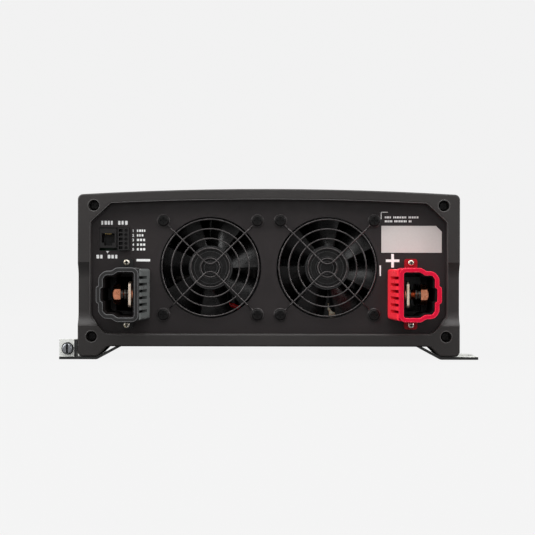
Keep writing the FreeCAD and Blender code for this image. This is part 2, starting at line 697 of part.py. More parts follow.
def ring(name, axis, x, y, z, bore, radius, long):
    """A washer or tube that starts at (x, y, z)."""
    drill = {"x": (f"{x} - 1", y, z), "y": (x, f"{y} - 1", z), "z": (x, y, f"{z} - 1")}[axis]
    return cut(name, cylinder(name + "_disc", axis, x, y, z, radius, long),
               cylinder(name + "_bore", axis, *drill, bore, f"{long} + 2"))


def bezel_screws(label, end):
    screws = [pan_screw("corner_screw", f"{side}corner_x_{level}", "well_depth - 2.6", f"corner_z_{level}",
                        1.65, 3.5, 2.6, 16) for side in ("", "-") for level in ("top", "low")]
    end_place(node(label, compound(label, *screws)), end)


def base_screws():
    """Countersunk screws that hold the base plate to the shell's ledges."""
    screws = [upright_screw("base_screw", side * BASE_SCREW_X, y, f"{BASE_LOW} - 1.6", BASE_SCREW_SHANK, 3, 1.6, 4.8)
              for side in (-1, 1) for y in BASE_SCREW_Y]
    node("base_screws", compound("base_screw_set", *screws))


# ---------------------------------------------------------------- mounting feet


def mounting_foot(label, end, side, earth_tag=False):
    """Folded sheet foot: fixed under the base plate, it slopes down and out to a slotted flange."""
    body = new_body(label)
    low, bend_shift = f"({BASE_LOW} - foot_sheet)", "(foot_sheet * 0.25)"
    profile = new_sketch(body, label + "_profile", "XZ", 1)
    points = [("foot_reach", "0"), ("foot_reach", "foot_sheet"), (f"(foot_bend + {bend_shift})", "foot_sheet"),
              (f"(foot_knee + {bend_shift})", BASE_LOW), ("foot_inner", BASE_LOW), ("foot_inner", low),
              ("foot_knee", low), ("foot_bend", "0")]
    outline(profile, [(f"{side} * {x}", z) for x, z in points])
    pad(body, profile, "foot_long")
    for radius, x, z in ((3, points[2][0], points[2][1]), (5, "foot_bend", "0"),
                         (3, "foot_knee", low), (5, points[3][0], points[3][1])):
        fillet(body, radius, lambda e, x=x, z=z: runs_along(e, "y") and near(e, "x", f"{side} * {x}", "z", z))
    clear = new_sketch(body, label + "_clearance", "XZ", 0)
    rectangle(clear, f"{side} * (foot_inner - 1)", "belly_height - 0.3", f"{side} * 118", f"{BASE_LOW} + 1")
    pocket(body, clear, "sleeve_depth + 0.5")
    trims = new_sketch(body, label + "_trims", "XY", -1)
    rectangle(trims, f"{side} * (foot_bend + 4)", 38, f"{side} * (foot_reach + 1)", "foot_long + 2")
    reach = "(foot_slot_long / 2 - foot_slot_r)"
    slot(trims, f"{side} * foot_slot_x - {reach}", "foot_slot_y", f"{side} * foot_slot_x + {reach}", "foot_slot_y",
         "foot_slot_r")
    for inset in FOOT_SCREW_Y:
        circle(trims, f"{side * FOOT_SCREW_X}", inset, 2.1)
    pocket(body, trims)
    fillet(body, 3, lambda e: runs_along(e, "z") and abs(abs(e.BoundBox.Center.x) - number("foot_reach")) < 0.1
           and e.BoundBox.Center.y > 5)
    if earth_tag:
        tag = new_sketch(body, label + "_tag", "XZ", "ear_y")
        rectangle(tag, f"{side} * foot_reach", 0.5, f"{side} * (foot_reach - ear_wide)", "ear_high")
        pad(body, tag, "foot_sheet")
        fold = new_sketch(body, label + "_tag_fold", "XZ", "ear_y")
        inner = "(foot_reach - ear_wide)"
        rectangle(fold, f"{side} * ({inner} + 1.5)", 0.5, f"{side} * {inner}", "ear_high")
        pad(body, fold, "ear_fold")
        hole = new_sketch(body, label + "_tag_hole", "XZ", 0)
        circle(hole, f"{side} * {EARTH_X}", EARTH_Z, 2.6)
        pocket(body, hole, "foot_sheet + 3")
    end_place(body, end)


def foot_fixings():
    """Screws from below with nuts on the base plate, two to a foot, and the earth screw's nut with those nuts."""
    screws, nuts = [], []
    for x, y in FOOT_FIXINGS:
        screws.append(upright_screw("foot_screw", x, y, f"{BASE_LOW} - foot_sheet - 2.4", 2, 3.8, 2.4, 8.5))
        nuts.append(cut("foot_nut", hexagon("foot_nut_blank", "z", x, y, BASE_TOP, 7, 3.2),
                        cylinder("foot_nut_bore", "z", x, y, f"{BASE_TOP} - 1", 2.05, 6)))
    behind = f"{DC_FACE} + ear_y + foot_sheet"
    nuts.append(cut("earth_nut", hexagon("earth_nut_blank", "y", f"-{EARTH_X}", behind, EARTH_Z, 8, 4),
                    cylinder("earth_nut_bore", "y", f"-{EARTH_X}", f"{behind} - 1", EARTH_Z, 2.5, 6)))
    node("foot_screws", compound("foot_screw_set", *screws))
    node("foot_nuts", compound("foot_nut_set", *nuts))


def earth_terminal():
    """Slotted earth screw through the tag on the DC end's left foot, with its washer."""
    screw = pan_screw("earth_pan", f"-{EARTH_X}", "(ear_y - 4)", EARTH_Z, 2.45, 3.9, 3, 11, slotted=True)
    end_place(node("earth_screw", screw), "dc")
    washer = ring("earth_washer_ring", "y", f"-{EARTH_X}", "ear_y - 1", EARTH_Z, 2.6, 4.6, 1)
    end_place(node("earth_washer", washer), "dc")


# ---------------------------------------------------------------- battery terminals


def hood_corners(inset):
    """Outline of a terminal cover's wall, moved in by inset, x outwards from the terminal's middle."""
    i = f"({inset})"
    half = [
        (f"hood_bulge - {i}", f"5.5 - 0.3 * {i}"), (f"hood_out - {i}", f"6.5 - 0.3 * {i}"),
        (f"hood_out - {i}", f"hood_step - 4.6 - 0.4 * {i}"), (f"hood_out - 4 - 0.4 * {i}", f"hood_step - {i}"),
        (f"7.1 - 0.3 * {i}", f"hood_step - {i}"), (f"3.6 - 0.3 * {i}", f"hood_half - {i}"),
        (f"3 - hood_in + 0.4 * {i}", f"hood_half - {i}"), (f"{i} - hood_in", f"hood_half - 3 - 0.4 * {i}"),
    ]
    return half + [(x, f"-({z})") for x, z in reversed(half)]


def terminal_place(body, side):
    """The right terminal's parts as modelled; the left one's turned half round the Y axis."""
    if side < 0:
        body.Placement = FreeCAD.Placement(FreeCAD.Vector(), FreeCAD.Rotation(FreeCAD.Vector(0, 1, 0), 180))
    return place(body, f"{side} * terminal_x", DC_FACE, "terminal_z")


def terminal_cover(label, side):
    """Moulded hood round a battery terminal: open mouth, slotted inner flank and two screw tabs."""
    body = new_body(label)
    walls = new_sketch(body, label + "_walls", "XZ", "-cover_reach")
    outline(walls, hood_corners(0))
    pad(body, walls, "cover_reach + rim_depth")
    fillet(body, 6, lambda e: runs_along(e, "y") and e.BoundBox.Center.x > 10 and abs(e.BoundBox.Center.z) > 10)
    fillet(body, 4, lambda e: runs_along(e, "y") and e.BoundBox.Center.x < 8)
    fillet(body, 1.2, lambda e: runs_along(e, "y") and abs(e.BoundBox.Center.z) < 8)
    flank = new_sketch(body, label + "_flank", "XY", "flank_drop - hood_half")
    outline(flank, [("-hood_in", "-cover_reach + 3"), ("-hood_in + 2", "-cover_reach + 3"),
                    ("-hood_in + 2", "rim_depth"), ("-hood_in - 4.8", "rim_depth"),
                    ("-hood_in - 4.8", "rim_depth - 4"), ("-hood_in - 1.4", "-cover_reach + 6")])
    pad(body, flank, "2 * (hood_half - flank_drop)")
    fillet(body, 2, lambda e: abs(abs(e.BoundBox.Center.z) - number("hood_half - flank_drop")) < 0.01
           and e.BoundBox.XMin < number("-hood_in - 4.7") and e.BoundBox.YLength > 1)
    tabs = new_sketch(body, label + "_tabs", "XZ", "rim_depth - 2.5")
    rectangle(tabs, "-tab_half", "-tab_end", "tab_half", "tab_end")
    pad(body, tabs, 2.5)
    fillet(body, 2, lambda e: runs_along(e, "y") and abs(abs(e.BoundBox.Center.z) - number("tab_end")) < 0.01)
    mouth = new_sketch(body, label + "_mouth", "XZ", "-cover_reach - 1")
    outline(mouth, hood_corners("hood_wall"))
    pocket(body, mouth, "cover_reach + rim_depth + 2")
    within = number("hood_half - hood_wall + 0.1")
    for radius, low, high in ((2.5, 0, 14), (1.6, -11, 0)):
        fillet(body, radius, lambda e, low=low, high=high: runs_along(e, "y") and low < e.BoundBox.Center.x < high
               and 10 < abs(e.BoundBox.Center.z) < within and e.BoundBox.YLength > 30)
    fillet(body, 0.8, lambda e: e.BoundBox.YMax < number("-cover_reach") + 0.01)
    slots = new_sketch(body, label + "_slots", "YZ", "-hood_in - 6")
    low = f"-{(RIB_SLOTS - 1) / 2} * rib_pitch - rib_gap / 2"
    rectangle(slots, "-cover_reach + 3.6", low, "-cover_reach + 26.5", f"{low} + rib_gap")
    repeat(body, pocket(body, slots, "6 + hood_wall + 0.6"), "Z", RIB_SLOTS, "rib_pitch")
    holes = new_sketch(body, label + "_holes", "XZ", "rim_depth - 4")
    for side_z in ("", "-"):
        circle(holes, 0, side_z + "tab_screw", 1.6)
    pocket(body, holes, 5)
    terminal_place(body, side)


def cover_screws():
    screws = []
    for side in (-1, 1):
        for end in (-1, 1):
            z = f"(terminal_z + {end} * tab_screw)"
            screws.append(pan_screw("cover_screw", f"{side} * terminal_x", "(rim_depth - 4.5)", z, 1.35, 2.3, 2, 9))
    end_place(node("cover_screws", compound("cover_screw_set", *screws)), "dc")


def bus_bar(label, side):
    """Copper bar from inside the cover, through the panel, down to the main board."""
    body = new_body(label)
    x = "terminal_x + bar_x" if side > 0 else "-terminal_x - bar_x - bar_thick"
    profile = new_sketch(body, label + "_profile", "YZ", x)
    low, top = "terminal_z - bar_high / 2", "terminal_z + bar_high / 2"
    outline(profile, [("bar_front", low), (44, low), (44, "board_z + board_thick"), (62, "board_z + board_thick"),
                      (62, top), ("bar_front", top)])
    pad(body, profile, "bar_thick")
    fillet(body, 3, lambda e: runs_along(e, "x") and abs(e.BoundBox.Center.y - number("bar_front")) < 0.01)
    hole = new_sketch(body, label + "_hole", "YZ", f"{x} - 1")
    circle(hole, "stud_y", "terminal_z", "stud_radius")
    pocket(body, hole, "bar_thick + 2")
    end_place(body, "dc")


def nut_seat(side):
    return "nut_x_positive" if side > 0 else "nut_x_negative"


def terminal_stud(label, side):
    """M8 stud clinched into the bus bar, its thread drawn as rings at the real pitch."""
    body = new_body(label)
    profile = new_sketch(body, label + "_profile", "XY")
    start, stop = "bar_x + bar_thick", f"({nut_seat(side)} + nut_high + 1.2)"
    corners = [("bar_x - 1.5", "0"), (stop, "0"), (stop, "stud_radius - 0.9"), (f"{stop} - 0.9", "stud_radius")]
    for count in range(int(number(f"({stop} - 0.9 - {start}) / thread_pitch"))):
        back = f"{stop} - 0.9 - {count} * thread_pitch"
        corners += [(f"{back} - 0.55 * thread_pitch", "stud_radius - 0.6"), (f"{back} - thread_pitch", "stud_radius")]
    corners += [(start, "stud_radius"), ("bar_x", "stud_radius"), ("bar_x", "stud_radius + 2.5"),
                ("bar_x - 1.5", "stud_radius + 2.5")]
    outline(profile, corners)
    turned_solid = body.newObject("PartDesign::Revolution", label + "_turned")
    turned_solid.Profile = profile
    turned_solid.ReferenceAxis = (profile, ["H_Axis"])
    turned_solid.Angle = 360
    terminal_place(body, side)
    bind(body, Placement__Base__y=f"{DC_FACE} + stud_y")


def terminal_stack(side, name):
    """Two flat washers, a split washer and a nut on one stud, x outwards from the terminal's middle."""
    seat, bore = nut_seat(side), "stud_radius + 0.15"
    washers = [ring(name + "_flat", "x", x, 0, 0, bore, 8, 1.4) for x in ("bar_x + bar_thick", f"{seat} - 4.3")]
    split_ring = ring(name + "_split_ring", "x", f"{seat} - 2", 0, 0, bore, 7, 2)
    washers.append(cut(name + "_split", split_ring, box(name + "_gap", f"{seat} - 3", 0, -0.6, 4, 10, 1.2)))
    nut = cut(name + "_nut", hexagon(name + "_nut_blank", "x", seat, 0, 0, "nut_flats", "nut_high"),
              cylinder(name + "_nut_bore", "x", f"{seat} - 1", 0, 0, "stud_radius", "nut_high + 2"))
    chamfered = doc.addObject("Part::Common", name + "_nut_chamfered")
    chamfered.Base = nut
    cone = turned(doc.addObject("Part::Cone", name + "_nut_cone"), "x")
    bind(cone, Radius1="nut_flats / 2 + 5", Radius2="nut_flats / 2 + 0.1", Height="nut_high")
    chamfered.Tool = place(cone, seat, 0, 0)
    return [*washers, chamfered]


def terminal_hardware():
    """The two terminals' washers and nuts; each piece is placed on its stud."""
    stacks = [(side, terminal_stack(side, name)) for side, name in ((-1, "negative"), (1, "positive"))]
    for label, members in (("terminal_washers", slice(0, 3)), ("terminal_nuts", slice(3, 4))):
        pieces = []
        for side, stack in stacks:
            for piece in stack[members]:
                terminal_place(piece, side)
                bind(piece, Placement__Base__y=f"{DC_FACE} + stud_y")
                pieces.append(piece)
        node(label, compound(label + "_set", *pieces))


# ---------------------------------------------------------------- fans


def fan_place(thing, side):
    return place(thing, f"{side} * fan_x", DC_FACE, "fan_z")


def fan_frame(label, side):
    """Square frame with a round duct, four struts, the motor's seat and its bearing tube."""
    flanges = [box("fan_flange", "-fan_size / 2", y, "-fan_size / 2", "fan_size", "fan_flange", "fan_size")
               for y in (FAN_FRONT, f"{FAN_BACK} - fan_flange")]
    corners = lambda e: runs_along(e, "y")
    flanges = [rounded("fan_flange_round", flange, 3.5, corners) for flange in flanges]
    duct = cylinder("fan_duct", "y", 0, FAN_FRONT, 0, "fan_size / 2 - 0.2", "fan_deep")
    bores = [cylinder("fan_bore_tool", "y", 0, f"{FAN_FRONT} - 1", 0, "fan_bore", "fan_deep + 2")]
    bores += [cylinder("fan_hole_tool", "y", f"{sx} * fan_pitch / 2", f"{FAN_FRONT} - 1", f"{sz} * fan_pitch / 2",
                       "fan_hole", "fan_deep + 2") for sx, sz in FAN_CORNERS]
    shell = cut("fan_shell", fuse("fan_blank", *flanges, duct), *bores)
    struts = [box("fan_strut", "-fan_bore - 0.6", f"{FAN_BACK} - 3", -1.6, "2 * fan_bore + 1.2", 3, 3.2),
              box("fan_strut", -1.6, f"{FAN_BACK} - 3", "-fan_bore - 0.6", 3.2, 3, "2 * fan_bore + 1.2")]
    seat = cylinder("fan_seat", "y", 0, f"{FAN_BACK} - 3", 0, "hub_radius", 3)
    tube = cylinder("fan_tube", "y", 0, f"{FAN_FRONT} + 6", 0, 3.8, "fan_deep - 6")
    whole = fuse("fan_whole", shell, *struts, seat, tube)
    bearing = cylinder("fan_bearing", "y", 0, f"{FAN_FRONT} + 5", 0, "shaft_radius + bearing_gap", "fan_deep - 6")
    fan_place(node(label, cut("fan_frame_cut", whole, bearing)), side)


def fan_stator(label, side):
    """Wound stator inside the hub, on the bearing tube: four poles."""
    disc = ring("stator_ring", "y", 0, f"{FAN_FRONT} + 8", 0, 3.8, 11.5, 10)
    gaps = []
    for angle in (45, 135):
        gap = doc.addObject("Part::Box", "stator_gap")
        bind(gap, Length=30, Width=12, Height=2.4)
        gap.Placement = FreeCAD.Placement(FreeCAD.Vector(), FreeCAD.Rotation(FreeCAD.Vector(0, 1, 0), angle))
        shift = gap.Placement.Rotation.multVec(FreeCAD.Vector(-15, 0, -1.2))
        place(gap, shift.x, f"{FAN_FRONT} + 7", shift.z)
        gaps.append(gap)
    core = cylinder("stator_core", "y", 0, f"{FAN_FRONT} + 8", 0, 6, 10)
    hole = cylinder("stator_hole", "y", 0, f"{FAN_FRONT} + 7", 0, 3.8, 12)
    slotted = cut("stator_slotted", disc, *gaps)
    return fan_place(node(label, cut("stator_cut", fuse("stator_whole", slotted, core), hole)), side)


def blade_section(x, low, high, thick, sag):
    """Closed curved section of a blade across the radius at x; low and high are its edges as (y, z)."""
    start = FreeCAD.Vector(x, *low)
    stop = FreeCAD.Vector(x, *high)
    chord = stop - start
    across = FreeCAD.Vector(0, -chord.z, chord.y).normalize()
    middle = (start + stop) / 2 + across * sag
    lift = across * thick
    return Part.Wire([
        Part.Arc(start, middle, stop).toShape(), Part.LineSegment(stop, stop + lift).toShape(),
        Part.Arc(stop + lift, middle + lift, start + lift).toShape(), Part.LineSegment(start + lift, start).toShape(),
    ])


def fan_blades(name, phase):
    """The rotor's twisted blades, trimmed to the tip radius; their roots are inside the hub."""
    root = blade_section(number("hub_radius - 5"), (13.5, -5.5), (27.5, 5.5), 1.6, 1.5)
    tip = blade_section(number("tip_radius + 1"), (15.5, -13), (27, 12), 1.2, 2.5)
    swept = Part.makeCylinder(number("tip_radius"), 60, FreeCAD.Vector(0, -10, 0), FreeCAD.Vector(0, 1, 0))
    blade = Part.makeLoft([root, tip], True, True).common(swept)
    blades = []
    for count in range(BLADES):
        turned_blade = blade.copy()
        turned_blade.rotate(FreeCAD.Vector(), FreeCAD.Vector(0, 1, 0), phase + 360 / BLADES * count)
        blades += turned_blade.Solids
    made = doc.addObject("Part::Feature", name)
    made.Shape = Part.Compound(blades)
    return made


def fan_rotor(label, side):
    """Hub cup with seven twisted blades and the steel shaft's journal."""
    front = f"({FAN_FRONT} + 1.5)"
    drum = rounded("hub_drum", cylinder("hub_blank", "y", 0, front, 0, "hub_radius", 18), 1.5,
                   lambda e: isinstance(e.Curve, Part.Circle) and abs(e.BoundBox.Center.y - number(front)) < 0.01)
    shaft = cylinder("hub_shaft", "y", 0, f"{front} + 1", 0, "shaft_radius", "fan_deep - 5.5")
    bladed = fuse("bladed_hub", drum, shaft, fan_blades("blades", BLADE_PHASE[side]), refine=False)
    hollow = ring("hub_hollow", "y", 0, f"{front} + 2", 0, "shaft_radius", "hub_radius - 2", 18)
    fan_place(node(label, cut(label + "_whole", bladed, hollow)), side)


def smooth_path(stops):
    """A wire through (point, bend) stops: straight runs joined by tangent arcs of radius bend."""
    edges = []
    start = stops[0][0]
    for (before, _), (corner, bend), (after, _) in zip(stops, stops[1:], stops[2:]):
        to_before, to_after = (before - corner).normalize(), (after - corner).normalize()
        half_angle = to_before.getAngle(to_after) / 2
        back = bend / math.tan(half_angle)
        inwards = (to_before + to_after).normalize()
        first, last = corner + to_before * back, corner + to_after * back
        middle = corner + inwards * (bend / math.sin(half_angle) - bend)
        edges += [Part.LineSegment(start, first).toShape(), Part.Arc(first, middle, last).toShape()]
        start = last
    edges.append(Part.LineSegment(start, stops[-1][0]).toShape())
    return Part.Wire(edges)


def round_bar(name, stops, radius):
    """A round wire or cable of that radius along (point, bend) stops."""
    path = smooth_path(stops)
    edge = path.Edges[0]
    section = Part.Circle(stops[0][0], edge.tangentAt(edge.FirstParameter), radius).toShape()
    solid = path.makePipeShell([Part.Wire([section])], True, False)
    volume = math.pi * radius**2 * path.Length
    if abs(solid.Volume - volume) > 0.01 * volume:
        raise RuntimeError(f"{name} has the wrong volume")
    made = doc.addObject("Part::Feature", name)
    made.Shape = solid
    return made


def finger_guard(label, side):
    """Welded wire guard: rings on two V-shaped wires, each wire ending in an eye round a fan screw."""
    rings = [torus("guard_ring", "y", 0, "guard_y", 0, radius, "wire") for radius in GUARD_RINGS]
    eyes = [torus("guard_eye_ring", "y", f"{sx} * fan_pitch / 2", "rim_depth - wire", f"{sz} * fan_pitch / 2",
                  "guard_eye", "wire") for sx, sz in FAN_CORNERS]
    end = number("fan_pitch / 2 - guard_eye / sqrt(2)")
    eye_y, strut_y = number("rim_depth - wire"), number("guard_y - 1.6 * wire")
    arm = [(end, eye_y, 0), (end - 1.6, eye_y, 2), (end - 4.4, strut_y, 2)]
    struts = []
    for up in (1, -1):
        stops = [(FreeCAD.Vector(a, y, up * a), bend) for a, y, bend in arm]
        stops.append((FreeCAD.Vector(0, strut_y, up * GUARD_VERTEX), GUARD_BEND))
        stops += [(FreeCAD.Vector(-a, y, up * a), bend) for a, y, bend in reversed(arm)]
        struts.append(round_bar("guard_strut", stops, number("wire")))
    fan_place(node(label, fuse("guard_welded", *rings, *struts, *eyes)), side)


def fan_fixings():
    """Machine screws through guard, panel and fan frame, with nuts behind."""
    screws, nuts = [], []
    for side in (-1, 1):
        for sx, sz in FAN_CORNERS:
            x, z = f"({side} * fan_x + {sx} * fan_pitch / 2)", f"(fan_z + {sz} * fan_pitch / 2)"
            screws.append(pan_screw("fan_screw", x, "(rim_depth - 2 * wire - 2.6)", z, 1.95, 4.3, 2.6, 33))
            nuts.append(cut("fan_nut", hexagon("fan_nut_blank", "y", x, FAN_BACK, z, 7, 3.2),
                            cylinder("fan_nut_bore", "y", x, f"{FAN_BACK} - 1", z, 2, 6)))
    end_place(node("fan_screws", compound("fan_screw_set", *screws)), "dc")
    end_place(node("fan_nuts", compound("fan_nut_set", *nuts)), "dc")


def fan_lead(name, side, route, back, step, radius):
    """A lead along route behind one fan's frame, then back by step and down to the main board."""
    x, z, board = number(f"{side} * fan_x"), number("fan_z"), number(BOARD_TOP)
    stops = [(FreeCAD.Vector(x + right, back, z + up), bend) for right, up, bend in route]
    down = x + route[-1][0]
    stops += [(FreeCAD.Vector(down, back + step, board + 5), 3), (FreeCAD.Vector(down, back + step, board), 0)]
    return round_bar(name, stops, radius)


def fan_leads():
    """Red and black supply leads from each fan's motor seat; the black ones pass behind the red ones."""
    behind = number(f"{DC_FACE} + {FAN_BACK}") + RED_LEAD + 0.3
    further = behind + RED_LEAD + BLACK_LEAD + 0.3
    reds = [fan_lead("red_lead", side, RED_ROUTES[side], behind, 6, RED_LEAD) for side in (-1, 1)]
    blacks = [fan_lead("black_lead", side, BLACK_ROUTE, further, 3.5, BLACK_LEAD) for side in (-1, 1)]
    node("fan_leads_red", compound("red_lead_set", *reds))
    node("fan_leads_black", compound("black_lead_set", *blacks))


# ---------------------------------------------------------------- remote control sockets and label


def remote_jack():
    """Modular jack for the remote control's lead, with its latch notch."""
    left, low, right, top = JACK
    x, z = (left + right) / 2, (low + top) / 2
    shell = box("jack_blank", left, JACK_FRONT, low, right - left, JACK_LONG, top - low)
    mouth = box("jack_mouth", x - JACK_HALF_X, JACK_FRONT - 1, z - JACK_HALF_Z, 2 * JACK_HALF_X, JACK_DEEP + 1,
                2 * JACK_HALF_Z)
    notch = box("jack_notch", x - 3.1, JACK_FRONT - 1, z - JACK_HALF_Z - 2, 6.2, 9, 3)
    end_place(node("remote_jack", cut("jack_cut", shell, mouth, notch)), "dc")
    contacts = [box("jack_contact", x + shift - 0.25, JACK_FRONT + 1.5, z + JACK_HALF_Z - 0.5, 0.5,
                    JACK_DEEP - 1.5, 0.5) for shift in (-1.9, -0.63, 0.63, 1.9)]
    end_place(node("jack_contacts", compound("jack_contact_set", *contacts)), "dc")


def terminal_block():
    """Five-way pluggable terminal strip beside the jack: a wire entry and a clamp screw for each way."""
    left, low, right, top = STRIP
    blank = box("strip_blank", left, STRIP_FRONT, low, right - left, 12, top - low)
    tools, screws = [], []
    for way in range(STRIP_WAYS):
        z = (low + top) / 2 + (way - (STRIP_WAYS - 1) / 2) * STRIP_PITCH
        tools.append(box("strip_entry", left + 0.9, STRIP_FRONT - 1, z - 1.15, 3, 7, 2.3))
        tools.append(cylinder("strip_well", "y", right - 2.5, STRIP_FRONT - 1, z, 1.25, 4))
        head = cylinder("strip_screw", "y", right - 2.5, STRIP_FRONT + 0.6, z, 1.2, 2.4)
        screws.append(cut("strip_screw_cut", head,
                          box("strip_screw_slot", right - 4, STRIP_FRONT, z - 0.2, 3, 1.3, 0.4)))
    end_place(node("terminal_strip", cut("strip_cut", blank, *tools)), "dc")
    end_place(node("terminal_strip_screws", compound("strip_screw_set", *screws)), "dc")


def socket_board():
    """Small circuit board behind the jack and the terminal strip."""
    back = JACK_FRONT + JACK_LONG
    board = box("socket_card", -132, back, 79, 30, "board_thick", 23)
    legs = box("strip_stem", STRIP[0] + 1, STRIP_FRONT + 12, STRIP[1] + 1, 6, back - STRIP_FRONT - 12, 14)
    end_place(node("socket_board", fuse("socket_board_whole", board, legs)), "dc")


def spec_label():
    """Blank label with one clipped corner."""
    body = new_body("spec_label")
    left, low, right, top, clip = LABEL
    sketch = new_sketch(body, "label_outline", "XZ", "rim_depth - label_thick")
    outline(sketch, [(left, low), (right, low), (right, top - clip), (right - clip, top), (left, top)])
    pad(body, sketch, "label_thick")
    end_place(body, "dc")


# ---------------------------------------------------------------- AC end fittings


def ac_outlet(label, x):
    """Flush mains outlet: two slanted slots over a straight one."""
    half_x, half_z = (value - 0.2 for value in OUTLET_HALF)
    front = "(-outlet_reach)"
    block = box(label + "_block", x - half_x, front, OUTLET_Z - half_z, 2 * half_x, "rim_depth + outlet_reach + 22",
                2 * half_z)
    block = rounded(label + "_round", block, 4, lambda e: runs_along(e, "y"))
    flange = box(label + "_flange", x - half_x - OUTLET_LIP, "rim_depth - 2.5", OUTLET_Z - half_z - OUTLET_LIP,
                 2 * (half_x + OUTLET_LIP), 2.5, 2 * (half_z + OUTLET_LIP))
    flange = rounded(label + "_flange_round", flange, 5, lambda e: runs_along(e, "y"))
    slots = []
    for shift_x, shift_z, tilt in PIN_SLOTS:
        pin = doc.addObject("Part::Box", label + "_pin_slot")
        bind(pin, Length=2, Width=20, Height=8)
        pin.Placement = FreeCAD.Placement(FreeCAD.Vector(), FreeCAD.Rotation(FreeCAD.Vector(0, 1, 0), tilt))
        middle = pin.Placement.Rotation.multVec(FreeCAD.Vector(1, 0, 4))
        slots.append(place(pin, x + shift_x - middle.x, f"{front} - 1", OUTLET_Z + shift_z - middle.z))
    end_place(node(label, cut(label + "_cut", fuse(label + "_whole", block, flange), *slots)), "ac")


def breaker():
    """Output breaker: body with a lever's slot and a test button's well, the lever and the button."""
    x, z = BREAKER_X, BREAKER_Z
    half_x, half_z = (value - 0.2 for value in BREAKER_HALF)
    block = box("breaker_block", x - half_x, BREAKER_FRONT, z - half_z, 2 * half_x, 44, 2 * half_z)
    flange = box("breaker_flange", x - half_x - 2.5, "rim_depth - 2.5", z - half_z - 2.5, 2 * half_x + 5, 2.5,
                 2 * half_z + 5)
    lever_slot = box("lever_slot", x - 4, BREAKER_FRONT - 1, z - 6.4, 8, 13.5, 12.8)
    bearing = cylinder("lever_bearing", "x", x - 7, LEVER_AXIS_Y, z, 1.55, 14)
    button_x, button_z = x + 10, z - 15
    well = box("button_well", button_x - 2.6, BREAKER_FRONT - 1, button_z - 2.6, 5.2, 11, 5.2)
    body = cut("breaker_cut", fuse("breaker_whole", block, flange), lever_slot, bearing, well)
    end_place(node("breaker_body", body), "ac")
    hub = cylinder("lever_hub", "x", x - 3.7, LEVER_AXIS_Y, z, 5, 7.4)
    pins = cylinder("lever_pins", "x", x - 6.5, LEVER_AXIS_Y, z, 1.5, 13)
    handle = doc.addObject("Part::Box", "lever_handle")
    bind(handle, Length=7.4, Width=LEVER_LONG, Height=3.2)
    handle.Placement = FreeCAD.Placement(FreeCAD.Vector(), FreeCAD.Rotation(FreeCAD.Vector(1, 0, 0), -LEVER_TILT))
    reach = handle.Placement.Rotation.multVec(FreeCAD.Vector(0, LEVER_LONG, 1.6))
    place(handle, x - 3.7, LEVER_AXIS_Y - reach.y, z - reach.z)
    end_place(node("breaker_lever", fuse("lever_whole", hub, pins, handle)), "ac")
    button = box("button_block", button_x - 2.4, BREAKER_FRONT - 1.5, button_z - 2.4, 4.8, 8, 4.8)
    end_place(node("breaker_test_button", rounded("button_round", button, 0.5,
                                                  lambda e: e.BoundBox.YMax < BREAKER_FRONT - 1)), "ac")


def power_switch():
    """Three-position rocker switch: frame with its well and bearing, and the rocker on two pins."""
    x, z = SWITCH_X, SWITCH_Z
    half_x, half_z = (value - 0.2 for value in SWITCH_HALF)
    front = "(rim_depth - 2)"
    block = box("switch_block", x - half_x, front, z - half_z, 2 * half_x, 20, 2 * half_z)
    flange = rounded("switch_flange_round", box("switch_flange", x - half_x - 1.4, front, z - half_z - 1.4,
                                                2 * half_x + 2.8, 2, 2 * half_z + 2.8), 1.2,
                     lambda e: runs_along(e, "y"))
    well = box("rocker_well", x - 4.6, f"{front} - 1", z - 8.2, 9.2, 12, 16.4)
    bearing = cylinder("rocker_bearing", "x", x - 6, ROCKER_AXIS_Y, z, 1.25, 12)
    frame = cut("switch_cut", fuse("switch_whole", block, flange), well, bearing)
    end_place(node("power_switch_frame", frame), "ac")
    body = doc.addObject("PartDesign::Body", "rocker_block")
    profile = new_sketch(body, "rocker_profile", "YZ", x - 4.3)
    shape = [(-7.2, 6.9), (-4.6, 0), (-7.2, -6.9), (-3, -7.1), (3, -3), (3, 3), (-3, 7.1)]
    outline(profile, [(ROCKER_AXIS_Y + y, z + up) for y, up in reversed(shape)])
    pad(body, profile, 8.6)
    pins = cylinder("rocker_pins", "x", x - 5.8, ROCKER_AXIS_Y, z, 1.2, 11.6)
    end_place(node("power_rocker", fuse("rocker_whole", body, pins)), "ac")


def status_lamps():
    lamps = []
    for x in LAMP_X:
        lens = cylinder("lamp_lens", "y", x, "rim_depth - 1.6", LAMP_Z, 2.5, 8)
        lamps.append(rounded("lamp_dome", lens, 1.4, lambda e: isinstance(e.Curve, Part.Circle)
                             and e.BoundBox.YMax < number("rim_depth") - 1))
    end_place(node("status_lamps", compound("status_lamp_set", *lamps)), "ac")


# ---------------------------------------------------------------- inside the case


def main_board():
    board = box("board_blank", "-board_half", BOARD_START, "board_z", "2 * board_half", BOARD_LONG, "board_thick")
    holes = [cylinder("board_hole", "z", side * STANDOFF_X, y, "board_z - 1", 2, 4)
             for side in (-1, 1) for y in STANDOFF_Y]
    node("main_board", cut("board_cut", board, *holes))


def board_standoffs():
    """Pillars between base plate and main board, each with its screw."""
    pillars = []
    for side in (-1, 1):
        for y in STANDOFF_Y:
            x = side * STANDOFF_X
            pillar = cylinder("standoff_pillar", "z", x, y, BASE_TOP, 3.5, f"board_z - {BASE_TOP}")
            shank = cylinder("standoff_shank", "z", x, y, "board_z - 1", 1.9, "board_thick + 1")
            head = cylinder("standoff_head", "z", x, y, "board_z + board_thick", 3.4, 2.2)
            pillars.append(fuse("standoff", pillar, shank, head))
    node("board_standoffs", compound("standoff_set", *pillars))


